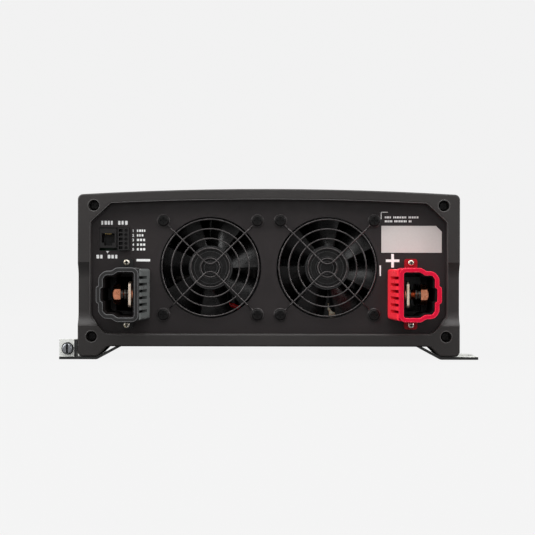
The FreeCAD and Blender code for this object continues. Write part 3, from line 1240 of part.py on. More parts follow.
def transformers():
    """Four ferrite transformers: a windowed core, with its coil round the middle leg."""
    cores, coils = [], []
    for x in TRANSFORMER_X:
        y = TRANSFORMER_Y
        core = box("core_blank", x - 21, y - 9, f"{BOARD_TOP} + 1.5", 42, 18, 48)
        windows = [box("core_window", x + at, y - 10, f"{BOARD_TOP} + 9.5", 8, 20, 32) for at in (-15, 7)]
        cores.append(cut("core", core, *windows))
        coil = rounded("coil_round", box("coil_blank", x - 14.8, y - 18, f"{BOARD_TOP} + 10", 29.6, 36, 31), 4,
                       lambda e: runs_along(e, "z"))
        coils.append(cut("coil", coil, box("coil_hole", x - 7.2, y - 9.2, f"{BOARD_TOP} + 9", 14.4, 18.4, 33)))
    node("transformer_cores", compound("core_set", *cores))
    node("transformer_windings", compound("coil_set", *coils))


def capacitors():
    """Input capacitors in two rows by the fans and four larger ones past the transformers."""
    cans = [("input_can", x, y, 9, 32) for y in INPUT_CAN_Y for x in INPUT_CAN_X]
    cans += [("bus_can", x, BUS_CAN_Y, 15, 50) for x in BUS_CAN_X]
    node("capacitors", compound("can_set", *[
        rounded(name, cylinder(name + "_blank", "z", x, y, BOARD_TOP, radius, high), 1.5,
                lambda e, high=high: isinstance(e.Curve, Part.Circle)
                and e.BoundBox.ZMax > number(BOARD_TOP) + high - 0.1)
        for name, x, y, radius, high in cans]))


def heatsinks():
    """Finned extrusions on both sides of the main board, each a thin web with fins outwards."""
    sinks = []
    for side in (-1, 1):
        web_x = HEATSINK_X if side > 0 else -HEATSINK_X - 3
        fin_x = HEATSINK_X + 2 if side > 0 else -HEATSINK_X - 20
        web = box("sink_web", web_x, HEATSINK_START, f"{BOARD_TOP} + 1", 3, HEATSINK_LONG, 62)
        fins = [box("sink_fin", fin_x, HEATSINK_START, f"{BOARD_TOP} + 3 + {6.4 * count}", 18, HEATSINK_LONG, 1.8)
                for count in range(10)]
        sinks.append(fuse("heatsink", web, *fins))
    node("heatsinks", compound("heatsink_set", *sinks))


def power_transistors():
    """Transistors with their legs, in a row on the inner face of each heatsink."""
    pieces = []
    for side in (-1, 1):
        for count in range(TRANSISTORS):
            y = TRANSISTOR_Y + TRANSISTOR_STEP * count
            x = HEATSINK_X - 4.8 if side > 0 else -HEATSINK_X
            block = box("transistor_block", x, y - 7.8, f"{BOARD_TOP} + 6", 4.8, 15.6, 20)
            legs = [box("transistor_leg", x + 2, y + at - 0.6, BOARD_TOP, 0.7, 1.2, 7) for at in (-5.4, 0, 5.4)]
            pieces.append(fuse("transistor", block, *legs))
    node("power_transistors", compound("transistor_set", *pieces))


def output_inductors():
    chokes = [torus("choke", "z", x, INDUCTOR_Y, f"{BOARD_TOP} + 9.5", 20, 9.5) for x in (-40, 40)]
    node("output_inductors", compound("inductor_set", *chokes))


def build():
    for end in ("dc", "ac"):
        end_bezel(f"{end}_end_bezel", end)
    dc_end_panel()
    ac_end_panel()
    case_shell()
    base_plate()
    bezel_screws("dc_bezel_screws", "dc")
    bezel_screws("ac_bezel_screws", "ac")
    base_screws()
    for end in ("dc", "ac"):
        for side, hand in ((-1, "left"), (1, "right")):
            mounting_foot(f"{end}_foot_{hand}", end, side, earth_tag=(end, side) == ("dc", -1))
    foot_fixings()
    earth_terminal()
    for side, pole in ((-1, "negative"), (1, "positive")):
        terminal_cover(f"{pole}_terminal_cover", side)
        bus_bar(f"{pole}_bus_bar", side)
        terminal_stud(f"{pole}_terminal_stud", side)
    terminal_hardware()
    cover_screws()
    for side, hand in ((-1, "left"), (1, "right")):
        fan_frame(f"fan_frame_{hand}", side)
        fan_stator(f"fan_stator_{hand}", side)
        fan_rotor(f"fan_rotor_{hand}", side)
        finger_guard(f"finger_guard_{hand}", side)
    fan_fixings()
    fan_leads()
    remote_jack()
    terminal_block()
    socket_board()
    spec_label()
    ac_outlet("ac_outlet_left", OUTLET_X[0])
    ac_outlet("ac_outlet_right", OUTLET_X[1])
    breaker()
    power_switch()
    status_lamps()
    main_board()
    board_standoffs()
    transformers()
    capacitors()
    heatsinks()
    power_transistors()
    output_inductors()


def export():
    """Checks every object, then writes one STEP file for each sub-part."""
    doc.recompute()
    for thing in doc.Objects:
        if "Invalid" in thing.State or "Error" in thing.State:
            raise RuntimeError(f"{thing.Name} ({thing.Label}) is in state {thing.State}")
    for label, thing in NODES.items():
        if thing.Shape.isNull() or not thing.Shape.isValid() or not thing.Shape.Solids:
            raise RuntimeError(f"{label} has no valid solid shape")
    os.makedirs("parts", exist_ok=True)
    for label, thing in NODES.items():
        thing.Shape.exportStep(os.path.join("parts", label + ".step"))


build()
export()
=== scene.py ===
"""Looks for the power inverter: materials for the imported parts, printed marks, small trim, light and camera.

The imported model's own frame is in metres: +X to the right seen from the DC end, +Y from the DC end to
the AC end, +Z up, with the origin on the floor under the middle of the object. Marks and trim are given
in millimetres in an end's own frame, which end_matrix describes.
"""

import json
import math

import bmesh
import bpy
from mathutils import Matrix, Vector


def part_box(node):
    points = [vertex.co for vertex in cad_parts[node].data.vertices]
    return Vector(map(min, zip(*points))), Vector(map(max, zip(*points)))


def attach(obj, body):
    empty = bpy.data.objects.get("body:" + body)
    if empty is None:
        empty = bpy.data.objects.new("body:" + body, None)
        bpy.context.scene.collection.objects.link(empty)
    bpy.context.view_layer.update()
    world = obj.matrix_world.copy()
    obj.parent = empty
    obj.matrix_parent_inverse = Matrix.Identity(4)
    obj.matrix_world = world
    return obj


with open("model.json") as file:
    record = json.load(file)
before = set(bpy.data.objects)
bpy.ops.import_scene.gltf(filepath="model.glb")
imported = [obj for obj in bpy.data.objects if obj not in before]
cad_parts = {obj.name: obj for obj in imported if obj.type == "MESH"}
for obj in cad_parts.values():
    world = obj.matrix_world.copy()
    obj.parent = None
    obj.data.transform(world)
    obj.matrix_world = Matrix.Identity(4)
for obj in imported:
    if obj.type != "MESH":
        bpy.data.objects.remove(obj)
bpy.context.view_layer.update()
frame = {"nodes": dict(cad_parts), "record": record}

MM = 0.001
CASE = "case"

# a terminal's middle; then from it, up or down: where its cover's screw tabs begin, and their screws
TERMINAL_X, TERMINAL_Z = 108, 49.5
TAB_ROOT, TAB_SCREW = 20.2, 23.7
# a cover's slotted flank lies nearer the middle plane than this
FLANK_X = 95.2
COVER_WALL = 3.2


# ---------------------------------------------------------------- places taken from the frame


def panel_face(end):
    """World Y of the outer face of the "dc" or "ac" end panel."""
    low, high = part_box(end + "_end_panel")
    return low[1] if end == "dc" else high[1]


def bezel_face(end):
    low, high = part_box(end + "_end_bezel")
    return low[1] if end == "dc" else high[1]


def middle(node):
    low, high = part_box(node)
    return (Vector(low) + Vector(high)) / 2


# ---------------------------------------------------------------- material helpers


class Look:
    """A Principled material and the pattern nodes that feed it, all by object coordinates in metres."""

    def __init__(self, name, **settings):
        self.material = bpy.data.materials.new(name)
        self.material.use_nodes = True
        tree = self.material.node_tree
        self.nodes, self.links = tree.nodes, tree.links
        self.shader = self.nodes["Principled BSDF"]
        for socket, value in settings.items():
            self.shader.inputs[socket.replace("_", " ")].default_value = value
        self.place = self.nodes.new("ShaderNodeTexCoord").outputs["Object"]
        self.normal = None

    def stretched(self, scale):
        """Object coordinates scaled per axis, for grain that runs one way."""
        node = self.nodes.new("ShaderNodeMapping")
        node.inputs["Scale"].default_value = scale
        self.links.new(self.place, node.inputs["Vector"])
        return node.outputs["Vector"]

    def noise(self, size_mm, detail=3.0, rough=0.5, along=None):
        """Noise from 0 to 1 whose blotches are about size_mm across."""
        node = self.nodes.new("ShaderNodeTexNoise")
        node.inputs["Scale"].default_value = 1 / (size_mm * MM)
        node.inputs["Detail"].default_value = detail
        node.inputs["Roughness"].default_value = rough
        self.links.new(along or self.place, node.inputs["Vector"])
        return node.outputs["Fac"]

    def cells(self, size_mm, output="Distance", along=None):
        node = self.nodes.new("ShaderNodeTexVoronoi")
        node.inputs["Scale"].default_value = 1 / (size_mm * MM)
        self.links.new(along or self.place, node.inputs["Vector"])
        return node.outputs[output]

    def spread(self, value, low, high, start=0.0, stop=1.0):
        """value's range low..high becomes start..stop."""
        node = self.nodes.new("ShaderNodeMapRange")
        self.links.new(value, node.inputs["Value"])
        for socket, number in (("From Min", low), ("From Max", high), ("To Min", start), ("To Max", stop)):
            node.inputs[socket].default_value = number
        return node.outputs["Result"]

    def mixed(self, factor, first, second):
        """A colour from first to second; each is a colour or a socket."""
        node = self.nodes.new("ShaderNodeMix")
        node.data_type = "RGBA"
        self.links.new(factor, node.inputs["Factor"])
        colour_sockets = [s for s in node.inputs if s.type == "RGBA"]
        for socket, colour in zip(colour_sockets, (first, second)):
            if isinstance(colour, tuple):
                socket.default_value = (*colour, 1)
            else:
                self.links.new(colour, socket)
        return next(s for s in node.outputs if s.type == "RGBA")

    def axes(self):
        """Object coordinates as three separate values, in metres."""
        node = self.nodes.new("ShaderNodeSeparateXYZ")
        self.links.new(self.place, node.inputs["Vector"])
        return node.outputs

    def maths(self, operation, first, second=None):
        """A Math node on one or two values; each is a number or a socket."""
        node = self.nodes.new("ShaderNodeMath")
        node.operation = operation
        for socket, value in zip(node.inputs, (first, second)):
            if isinstance(value, (int, float)):
                socket.default_value = value
            elif value is not None:
                self.links.new(value, socket)
        return node.outputs["Value"]

    def below(self, value, limit):
        return self.maths("LESS_THAN", value, limit)

    def either(self, first, second):
        return self.maths("MAXIMUM", first, second)

    def both(self, first, second):
        return self.maths("MINIMUM", first, second)

    def negated(self, value):
        return self.maths("MULTIPLY", value, -1)

    def size(self, value):
        return self.maths("ABSOLUTE", value)

    def colour(self, socket):
        self.links.new(socket, self.shader.inputs["Base Color"])

    def roughness(self, value, low, high):
        """Roughness from low to high as value goes over its usual middle range."""
        self.links.new(self.spread(value, 0.3, 0.7, low, high), self.shader.inputs["Roughness"])

    def bump(self, value, height_mm, strength=1.0):
        """Adds relief of that height on top of any relief already there."""
        node = self.nodes.new("ShaderNodeBump")
        node.inputs["Strength"].default_value = strength
        node.inputs["Distance"].default_value = height_mm * MM
        self.links.new(value, node.inputs["Height"])
        if self.normal:
            self.links.new(self.normal, node.inputs["Normal"])
        self.normal = node.outputs["Normal"]
        self.links.new(self.normal, self.shader.inputs["Normal"])


def moulded(name, base, shade, rough, grain_mm=0.45, relief_mm=0.02, **settings):
    """Moulded plastic: an even colour that drifts a little, with a fine eroded grain."""
    look = Look(name, **settings)
    drift = look.noise(60, 2)
    look.colour(look.mixed(look.spread(drift, 0.35, 0.65), base, shade))
    grain = look.noise(grain_mm, 2, 0.6)
    look.roughness(look.noise(9, 4), rough - 0.05, rough + 0.06)
    look.bump(grain, relief_mm)
    return look.material


def brushed(name, base, shade, rough, scale, relief_mm=0.006, **settings):
    """Metal with fine lines: scale squeezes the pattern across the lines."""
    look = Look(name, Metallic=1.0, **settings)
    lines = look.noise(3, 4, 0.6, look.stretched(scale))
    look.colour(look.mixed(look.spread(lines, 0.3, 0.7), base, shade))
    look.roughness(lines, rough - 0.07, rough + 0.1)
    look.bump(lines, relief_mm)
    return look.material


# ---------------------------------------------------------------- materials, one function per kind of surface


def bezel_plastic():
    return moulded("bezel_plastic", (0.0172, 0.0150, 0.0142), (0.0205, 0.0180, 0.0172), 0.42,
                   Specular_IOR_Level=0.38)


def panel_paint():
    """Black powder coat: fine orange peel over the steel panel."""
    look = Look("panel_paint", Specular_IOR_Level=0.34)
    drift = look.noise(40, 3)
    tone = look.mixed(look.spread(drift, 0.35, 0.65), (0.0104, 0.0070, 0.0074), (0.0138, 0.0100, 0.0102))
    look.colour(tone)
    look.roughness(look.noise(5, 3), 0.46, 0.56)
    look.bump(look.noise(1.1, 2, 0.4), 0.03)
    look.bump(look.noise(0.35, 2, 0.5), 0.008)
    return look.material


def shell_paint():
    """Satin black on an aluminium extrusion: faint die lines along the case."""
    look = Look("shell_paint", Metallic=0.15)
    lines = look.noise(4, 4, 0.6, look.stretched((1, 0.01, 1)))
    look.colour(look.mixed(look.spread(lines, 0.3, 0.7), (0.024, 0.023, 0.024), (0.031, 0.030, 0.031)))
    look.roughness(look.noise(12, 4), 0.36, 0.47)
    look.bump(lines, 0.012)
    look.bump(look.noise(0.6, 2), 0.006)
    return look.material


def plated_sheet(name, base, shade, rough):
    """Zinc-plated sheet: soft crystalline patches and a faint rolled grain."""
    look = Look(name, Metallic=1.0)
    patches = look.cells(5, "Color")
    grain = look.noise(2.5, 4, 0.6, look.stretched((0.06, 1, 1)))
    tone = look.mixed(look.spread(grain, 0.3, 0.7), base, shade)
    look.colour(look.mixed(look.spread(patches, 0.0, 1.0, 0.0, 0.35), tone, shade))
    look.roughness(grain, rough - 0.06, rough + 0.1)
    look.bump(grain, 0.006)
    return look.material


TAG_FOLD_MM = 147.3  # the earth tag's fold, from the object's middle plane
CUT_MM, FOLD_SHADE_MM = 0.4, 1.3  # how far from a foot's end the darkened cut and the painted shade in the tag's fold reach


def foot_zinc():
    """Bright plating, darkened where the sheet was cut across at the two ends of the object, with painted
    shade in the earth tag's fold.
    """
    look = Look("foot_zinc", Metallic=0.1)
    patches = look.cells(5, "Color")
    grain = look.noise(2.5, 4, 0.6, look.stretched((0.06, 1, 1)))
    tone = look.mixed(look.spread(grain, 0.3, 0.7), (0.76, 0.77, 0.73), (0.68, 0.69, 0.66))
    plated = look.mixed(look.spread(patches, 0.0, 1.0, 0.0, 0.3), tone, (0.62, 0.63, 0.61))
    x, y, _ = look.axes()
    low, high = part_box("dc_foot_left")[0][1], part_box("ac_foot_left")[1][1]
    cut_edge = look.either(look.below(y, low + CUT_MM * MM), look.below(look.negated(y), CUT_MM * MM - high))
    painted_fold_shade = look.both(look.below(y, low + FOLD_SHADE_MM * MM), look.below(look.size(x), TAG_FOLD_MM * MM))
    # one dark colour for the cut ends and the tag's fold; in the fold it is painted shade
    look.colour(look.mixed(look.either(cut_edge, painted_fold_shade), plated, (0.012, 0.012, 0.012)))
    look.roughness(grain, 0.34, 0.48)
    look.bump(grain, 0.006)
    return look.material


def base_zinc():
    return plated_sheet("base_zinc", (0.55, 0.56, 0.57), (0.44, 0.45, 0.46), 0.42)


def screw_black():
    look = Look("screw_black", Metallic=0.4, Specular_IOR_Level=0.25)
    wear = look.noise(1.2, 4, 0.7)
    look.colour(look.mixed(look.spread(wear, 0.55, 0.8), (0.0055, 0.0050, 0.0050), (0.022, 0.020, 0.019)))
    look.roughness(wear, 0.34, 0.5)
    look.bump(look.noise(0.4), 0.01)
    return look.material


def screw_steel():
    """Bright passivated steel with a faint yellow cast in places."""
    look = Look("screw_steel", Metallic=1.0)
    cast = look.noise(2.2, 4, 0.6)
    look.colour(look.mixed(look.spread(cast, 0.4, 0.7), (0.70, 0.69, 0.66), (0.62, 0.55, 0.40)))
    look.roughness(look.noise(0.8, 3), 0.22, 0.36)
    look.bump(look.noise(0.3, 2), 0.006)
    return look.material


def cover_light_and_shade(look, fresh, pale, shaded):
    """Painted light on a cover's slotted flank and painted shade on its screw tabs: lighter and darker copies
    of its plastic.
    """
    x, _, z = look.axes()
    paler = look.mixed(look.below(look.size(x), FLANK_X * MM), fresh, pale)
    off_middle = look.size(look.maths("SUBTRACT", z, TERMINAL_Z * MM))
    return look.mixed(look.maths("GREATER_THAN", off_middle, TAB_ROOT * MM), paler, shaded)


def red_plastic():
    look = Look("red_plastic", Specular_IOR_Level=0.16)
    drift = look.noise(14, 3)
    fresh = look.mixed(look.spread(drift, 0.3, 0.7), (0.58, 0.002, 0.030), (0.52, 0.002, 0.026))
    # the flank's paler red is painted light and the tabs' dark red is painted shade
    look.colour(cover_light_and_shade(look, fresh, (0.84, 0.028, 0.046), (0.26, 0.005, 0.010)))
    look.roughness(look.noise(4, 4), 0.26, 0.36)
    look.bump(look.noise(0.4, 2), 0.012)
    return look.material


def grey_plastic():
    look = Look("grey_plastic", Specular_IOR_Level=0.26)
    drift = look.noise(14, 3)
    fresh = look.mixed(look.spread(drift, 0.3, 0.7), (0.0185, 0.018, 0.018), (0.015, 0.0146, 0.0146))
    # the flank's paler grey is painted light and the tabs' near black is painted shade
    look.colour(cover_light_and_shade(look, fresh, (0.10, 0.106, 0.104), (0.009, 0.009, 0.009)))
    look.roughness(look.noise(9, 4), 0.25, 0.36)
    look.bump(look.noise(0.4, 2), 0.01)
    return look.material


def copper():
    """Bare copper with darker fingerprints of oxide."""
    look = Look("copper", Metallic=1.0)
    oxide = look.noise(4, 5, 0.6)
    look.colour(look.mixed(look.spread(oxide, 0.42, 0.72), (0.84, 0.34, 0.20), (0.62, 0.22, 0.11)))
    lines = look.noise(1.5, 4, 0.6, look.stretched((1, 0.08, 1)))
    look.roughness(lines, 0.24, 0.42)
    look.bump(lines, 0.008)
    return look.material


def bus_copper():
    """Tinned copper bar: pale cream where the cut edge catches the light."""
    look = Look("bus_copper", Metallic=0.7)
    wear = look.noise(5, 4, 0.6)
    look.colour(look.mixed(look.spread(wear, 0.4, 0.7), (1.0, 0.84, 0.70), (0.90, 0.66, 0.48)))
    look.roughness(wear, 0.3, 0.45)
    look.bump(look.noise(1.2, 3), 0.01)
    return look.material


def earth_steel():
    """Dull grey plated screw, its slot cut across turned lines."""
    look = Look("earth_steel", Metallic=0.8)
    lines = look.noise(0.9, 4, 0.6, look.stretched((1, 1, 0.2)))
    look.colour(look.mixed(look.spread(lines, 0.3, 0.7), (0.30, 0.31, 0.33), (0.20, 0.205, 0.215)))
    look.roughness(lines, 0.3, 0.44)
    look.bump(lines, 0.01)
    return look.material


def washer_steel():
    """Washers in a near-black metal, smooth enough to show only thin glints."""
    look = Look("washer_steel", Metallic=1.0)
    cast = look.noise(1.6, 4, 0.6)
    look.colour(look.mixed(look.spread(cast, 0.4, 0.7), (0.06, 0.055, 0.048), (0.03, 0.027, 0.024)))
    look.roughness(look.noise(0.8, 3), 0.12, 0.22)
    look.bump(look.noise(0.3, 2), 0.004)
    return look.material


def fan_plastic():
    return moulded("fan_plastic", (0.005, 0.005, 0.005), (0.008, 0.0075, 0.0075), 0.4, 0.5, 0.01,
                   Specular_IOR_Level=0.34)


def rotor_plastic():
    """Glass-filled black: glossy, with flow marks that run out along the blades."""
    look = Look("rotor_plastic", Specular_IOR_Level=0.22)
    flow = look.noise(6, 4, 0.6)
    look.colour(look.mixed(look.spread(flow, 0.35, 0.7), (0.004, 0.004, 0.004), (0.008, 0.0075, 0.0075)))
    look.roughness(flow, 0.2, 0.34)
    look.bump(look.noise(1.0, 3), 0.012)
    return look.material


def guard_wire():
    """Dark plated steel wire, a little worn at its highest points."""
    look = Look("guard_wire", Metallic=0.85)
    wear = look.noise(3, 4, 0.7)
    look.colour(look.mixed(look.spread(wear, 0.45, 0.75), (0.050, 0.046, 0.046), (0.10, 0.092, 0.092)))
    look.roughness(wear, 0.34, 0.46)
    look.bump(look.noise(0.5), 0.01)
    return look.material


def winding_copper():
    look = Look("winding_copper", Metallic=0.9)
    turns = look.noise(1.2, 2, 0.4, look.stretched((1, 1, 0.12)))
    look.colour(look.mixed(look.spread(turns, 0.35, 0.65), (0.42, 0.13, 0.05), (0.66, 0.27, 0.11)))
    look.roughness(turns, 0.22, 0.4)
    look.bump(turns, 0.3)
    return look.material


def vinyl(look, drift, tone):
    """Soft cable insulation of that tone."""
    look.colour(tone)
    look.roughness(drift, 0.34, 0.46)
    look.bump(look.noise(0.8, 2), 0.01)
    return look.material


def lead_red():
    """Red insulation on the left fan's lead; the right fan's lead is given a near-black colour."""
    look = Look("lead_red")
    drift = look.noise(5, 3)
    x, _, _ = look.axes()
    red = look.mixed(look.spread(drift, 0.3, 0.7), (0.70, 0.012, 0.015), (0.52, 0.008, 0.010))
    # right of the middle plane the lead's colour is near black
    return vinyl(look, drift, look.mixed(look.maths("GREATER_THAN", x, 0), red, (0.006, 0.0055, 0.0055)))


def lead_black():
    look = Look("lead_black")
    drift = look.noise(5, 3)
    black = look.mixed(look.spread(drift, 0.3, 0.7), (0.018, 0.018, 0.018), (0.028, 0.027, 0.027))
    return vinyl(look, drift, black)


def hub_ridge_highlight():
    """The rotor's plastic on the hub's ridges, a little paler than the rest: a painted highlight."""
    return moulded("hub_ridge_highlight", (0.016, 0.0155, 0.016), (0.012, 0.0115, 0.012), 0.36, 0.5, 0.006)


def link_tin():
    """Tinned metal, cream in places and browner in others."""
    look = Look("link_tin", Metallic=0.4)
    tin = look.noise(2.2, 3, 0.6)
    look.colour(look.mixed(look.spread(tin, 0.4, 0.62), (0.95, 0.88, 0.72), (0.72, 0.42, 0.24)))
    look.roughness(tin, 0.28, 0.42)
    look.bump(tin, 0.02)
    return look.material


def socket_plastic():
    return moulded("socket_plastic", (0.007, 0.0065, 0.0065), (0.011, 0.010, 0.010), 0.42, 0.4, 0.01,
                   Specular_IOR_Level=0.3)


def contact_gold():
    return brushed("contact_gold", (0.88, 0.66, 0.27), (0.78, 0.55, 0.2), 0.22, (1, 0.1, 1))


def board_green():
    """Solder mask with traces under it: an even green crossed by lighter tracks."""
    look = Look("board_green", Coat_Weight=0.4, Coat_Roughness=0.12)
    tracks = look.cells(9, "Distance", look.stretched((1, 0.35, 1)))
    base = look.mixed(look.spread(look.noise(30), 0.3, 0.7), (0.010, 0.085, 0.030), (0.016, 0.11, 0.04))
    look.colour(look.mixed(look.spread(tracks, 0.42, 0.5), base, (0.03, 0.19, 0.07)))
    look.roughness(look.noise(2), 0.26, 0.36)
    look.bump(tracks, 0.02)
    return look.material


def label_film():
    """Blank polyester label: matt, with a hint of mottling."""
    look = Look("label_film")
    mottle = look.noise(1.4, 4, 0.6)
    look.colour(look.mixed(look.spread(mottle, 0.3, 0.7), (0.530, 0.510, 0.490), (0.500, 0.480, 0.462)))
    look.roughness(look.noise(3), 0.48, 0.58)
    look.bump(look.noise(8, 2), 0.02)
    return look.material


def outlet_plastic():
    return moulded("outlet_plastic", (0.64, 0.63, 0.60), (0.60, 0.59, 0.555), 0.3, 0.6, 0.008,
                   Coat_Weight=0.2)


def switch_plastic():
    return moulded("switch_plastic", (0.014, 0.014, 0.015), (0.021, 0.020, 0.021), 0.32, 0.5, 0.01)


def lever_plastic():
    return moulded("lever_plastic", (0.020, 0.026, 0.060), (0.028, 0.034, 0.075), 0.34, 0.5, 0.01)


def button_plastic():
    return moulded("button_plastic", (0.80, 0.42, 0.02), (0.70, 0.35, 0.015), 0.34, 0.5, 0.01)


def lamp_lens():
    """Frosted lens, unlit: pale, slightly see-through."""
    look = Look("lamp_lens", Transmission_Weight=0.35, IOR=1.49, Subsurface_Weight=0.0)
    ribs = look.cells(0.9)
    look.colour(look.mixed(look.spread(ribs, 0.1, 0.6), (0.42, 0.60, 0.44), (0.30, 0.48, 0.33)))
    look.roughness(ribs, 0.14, 0.26)
    look.bump(ribs, 0.05)
    return look.material


def ferrite():
    return moulded("ferrite", (0.042, 0.043, 0.047), (0.062, 0.062, 0.066), 0.6, 0.7, 0.02)


def coil_tape():
    """Dark polyester tape over the coils, with the laps showing as soft ridges."""
    look = Look("coil_tape", Coat_Weight=0.3)
    laps = look.noise(6, 2, 0.4, look.stretched((0.05, 0.05, 1)))
    look.colour(look.mixed(look.spread(laps, 0.35, 0.65), (0.045, 0.030, 0.016), (0.060, 0.040, 0.020)))
    look.roughness(laps, 0.26, 0.4)
    look.bump(laps, 0.15)
    return look.material


def can_sleeve():
    """Capacitor's heat-shrunk sleeve, with faint wrinkles."""
    look = Look("can_sleeve", Coat_Weight=0.3)
    wrinkles = look.noise(5, 3, 0.5, look.stretched((1, 1, 0.3)))
    look.colour(look.mixed(look.spread(wrinkles, 0.3, 0.7), (0.008, 0.009, 0.014), (0.013, 0.014, 0.020)))
    look.roughness(wrinkles, 0.24, 0.36)
    look.bump(wrinkles, 0.06)
    return look.material


def sink_aluminium():
    return brushed("sink_aluminium", (0.74, 0.75, 0.76), (0.62, 0.63, 0.64), 0.34, (1, 0.02, 1))


def transistor_epoxy():
    return moulded("transistor_epoxy", (0.012, 0.012, 0.013), (0.018, 0.018, 0.019), 0.5, 0.3, 0.01)


def lip_highlight_plastic():
    """Paler version of the bezel's plastic: painted highlight along its rounded edges."""
    return moulded("lip_highlight_plastic", (0.048, 0.044, 0.043), (0.040, 0.037, 0.036), 0.36, 0.5, 0.006)


def shade_liner_plastic():
    """Dead black sleeve of painted shade."""
    return moulded("shade_liner_plastic", (0.0105, 0.0085, 0.0085), (0.0125, 0.0105, 0.0105), 0.75, 0.6, 0.01,
                   Specular_IOR_Level=0.05)


def rim_highlight_grey():
    """Paler version of the grey cover's plastic: painted highlight along the edges of its mouth."""
    return moulded("rim_highlight_grey", (0.105, 0.105, 0.108), (0.085, 0.085, 0.087), 0.3, 0.4, 0.006)


def rim_highlight_red():
    """Paler version of the red cover's plastic: painted highlight along the edges of its mouth."""
    return moulded("rim_highlight_red", (0.80, 0.018, 0.055), (0.74, 0.010, 0.044), 0.26, 0.4, 0.006)


def print_ink():
    """White screen print: nearly flat, with the mesh's slight unevenness."""
    look = Look("print_ink")
    uneven = look.noise(0.5, 3)
    look.colour(look.mixed(look.spread(uneven, 0.3, 0.7), (0.86, 0.86, 0.85), (0.76, 0.76, 0.75)))
    look.roughness(uneven, 0.5, 0.6)
    look.bump(uneven, 0.008)
    return look.material


SLOT_LOOKS = [
    bezel_plastic, panel_paint, shell_paint, foot_zinc, base_zinc, screw_black, screw_steel, red_plastic,
    grey_plastic, copper, fan_plastic, rotor_plastic, guard_wire, winding_copper, lead_red, lead_black,
    socket_plastic, contact_gold, board_green, label_film, outlet_plastic, switch_plastic, lever_plastic,
    button_plastic, lamp_lens, ferrite, coil_tape, can_sleeve, sink_aluminium, transistor_epoxy,
]


# nodes whose surface differs from the rest of their slot
SPECIAL_LOOKS = {
    "positive_bus_bar": bus_copper, "negative_bus_bar": bus_copper, "terminal_washers": washer_steel,
    "earth_screw": earth_steel,
}


def dress_frame():
    """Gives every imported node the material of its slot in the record."""
    looks = {make.__name__: make() for make in SLOT_LOOKS}
    for entry in frame["record"]["subparts"]:
        shown = frame["nodes"][entry["node"]]
        for place in shown.material_slots:
            place.material = looks[entry["material_slot"]]
    for node, make in SPECIAL_LOOKS.items():
        material = make()
        for place in frame["nodes"][node].material_slots:
            place.material = material
    return looks


# ---------------------------------------------------------------- mesh helpers


def piece(name, mesh_builder, material, body=CASE):
    """A new object from a bmesh, with its material and its body."""
    mesh = bpy.data.meshes.new(name)
    mesh_builder.to_mesh(mesh)
    mesh_builder.free()
    made = bpy.data.objects.new(name, mesh)
    bpy.context.scene.collection.objects.link(made)
    mesh.materials.append(material)
    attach(made, body)
    return made


def prism(builder, corners, low, high, matrix):
    """A flat outline in the local XZ plane, raised from y = low to y = high, then moved by matrix."""
    rings = [[builder.verts.new(matrix @ Vector((x, y, z))) for x, z in corners] for y in (low, high)]
    count = len(corners)
    builder.faces.new(rings[0])
    builder.faces.new(list(reversed(rings[1])))
    for i in range(count):
        j = (i + 1) % count
        builder.faces.new((rings[0][j], rings[0][i], rings[1][i], rings[1][j]))


def end_matrix(end, plane):
    """From millimetres in an end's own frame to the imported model's.

    x is to the right seen from outside, y inwards, z up, and y = 0 on that plane.
    """
    turn = Matrix.Identity(4) if end == "dc" else Matrix.Rotation(math.pi, 4, "Z")
    return Matrix.Translation((0, plane, 0)) @ turn @ Matrix.Scale(MM, 4)


def rounded_box(x0, z0, x1, z1, radius, steps=4):
    """Corners of a rectangle with round corners, anticlockwise."""
    corners = []
    for cx, cz, start in ((x1 - radius, z0 + radius, -90), (x1 - radius, z1 - radius, 0),
                          (x0 + radius, z1 - radius, 90), (x0 + radius, z0 + radius, 180)):
        for step in range(steps + 1):
            angle = math.radians(start + 90 * step / steps)
            corners.append((cx + radius * math.cos(angle), cz + radius * math.sin(angle)))
    return corners


INK_MM = 0.05
PIN_Z, PIN_PITCH = 96.6, 3.54  # first row of the pin list, and the rows' pitch
PIN_LETTERS = (4, 4, 3, 3, 3)


class Print:
    """Screen-printed marks on an end panel, all in one piece. Sizes in millimetres in the end's frame."""

    def __init__(self, end, face):
        self.builder = bmesh.new()
        self.matrix = end_matrix(end, face)

    def shape(self, corners):
        prism(self.builder, corners, -INK_MM, 0.0, self.matrix)

    def bar(self, x0, z0, x1, z1, radius=0.15):
        self.shape(rounded_box(x0, z0, x1, z1, radius, 2))

    def words(self, x0, z0, x1, z1, letters, seed):
        """A row of small blocks where the real panel has words: it isn't lettering."""
        step = (x1 - x0) / letters
        for index in range(letters):
            if (index * 7 + seed) % 9 == 4:
                continue
            width = step * (0.58 + 0.16 * ((index * 5 + seed) % 3) / 2)
            left = x0 + index * step
            self.bar(left, z0, left + width, z1, min(width, z1 - z0) * 0.2)

    def cross(self, x, z, size, bar):
        half, thin = size / 2, bar / 2
        self.shape([
            (x - thin, z - half), (x + thin, z - half), (x + thin, z - thin), (x + half, z - thin),
            (x + half, z + thin), (x + thin, z + thin), (x + thin, z + half), (x - thin, z + half),
            (x - thin, z + thin), (x - half, z + thin), (x - half, z - thin), (x - thin, z - thin)])

    def ring(self, x, z, radius, bar, steps=24):
        """A circle line, built as short blocks joined end to end."""
        for step in range(steps):
            a, b = (math.tau * k / steps for k in (step, step + 1))
            self.shape([(x + r * math.cos(t), z + r * math.sin(t))
                        for r, t in ((radius - bar, a), (radius, a), (radius, b), (radius - bar, b))])

    def finish(self, name, material):
        return piece(name, self.builder, material)


# ---------------------------------------------------------------- printed marks


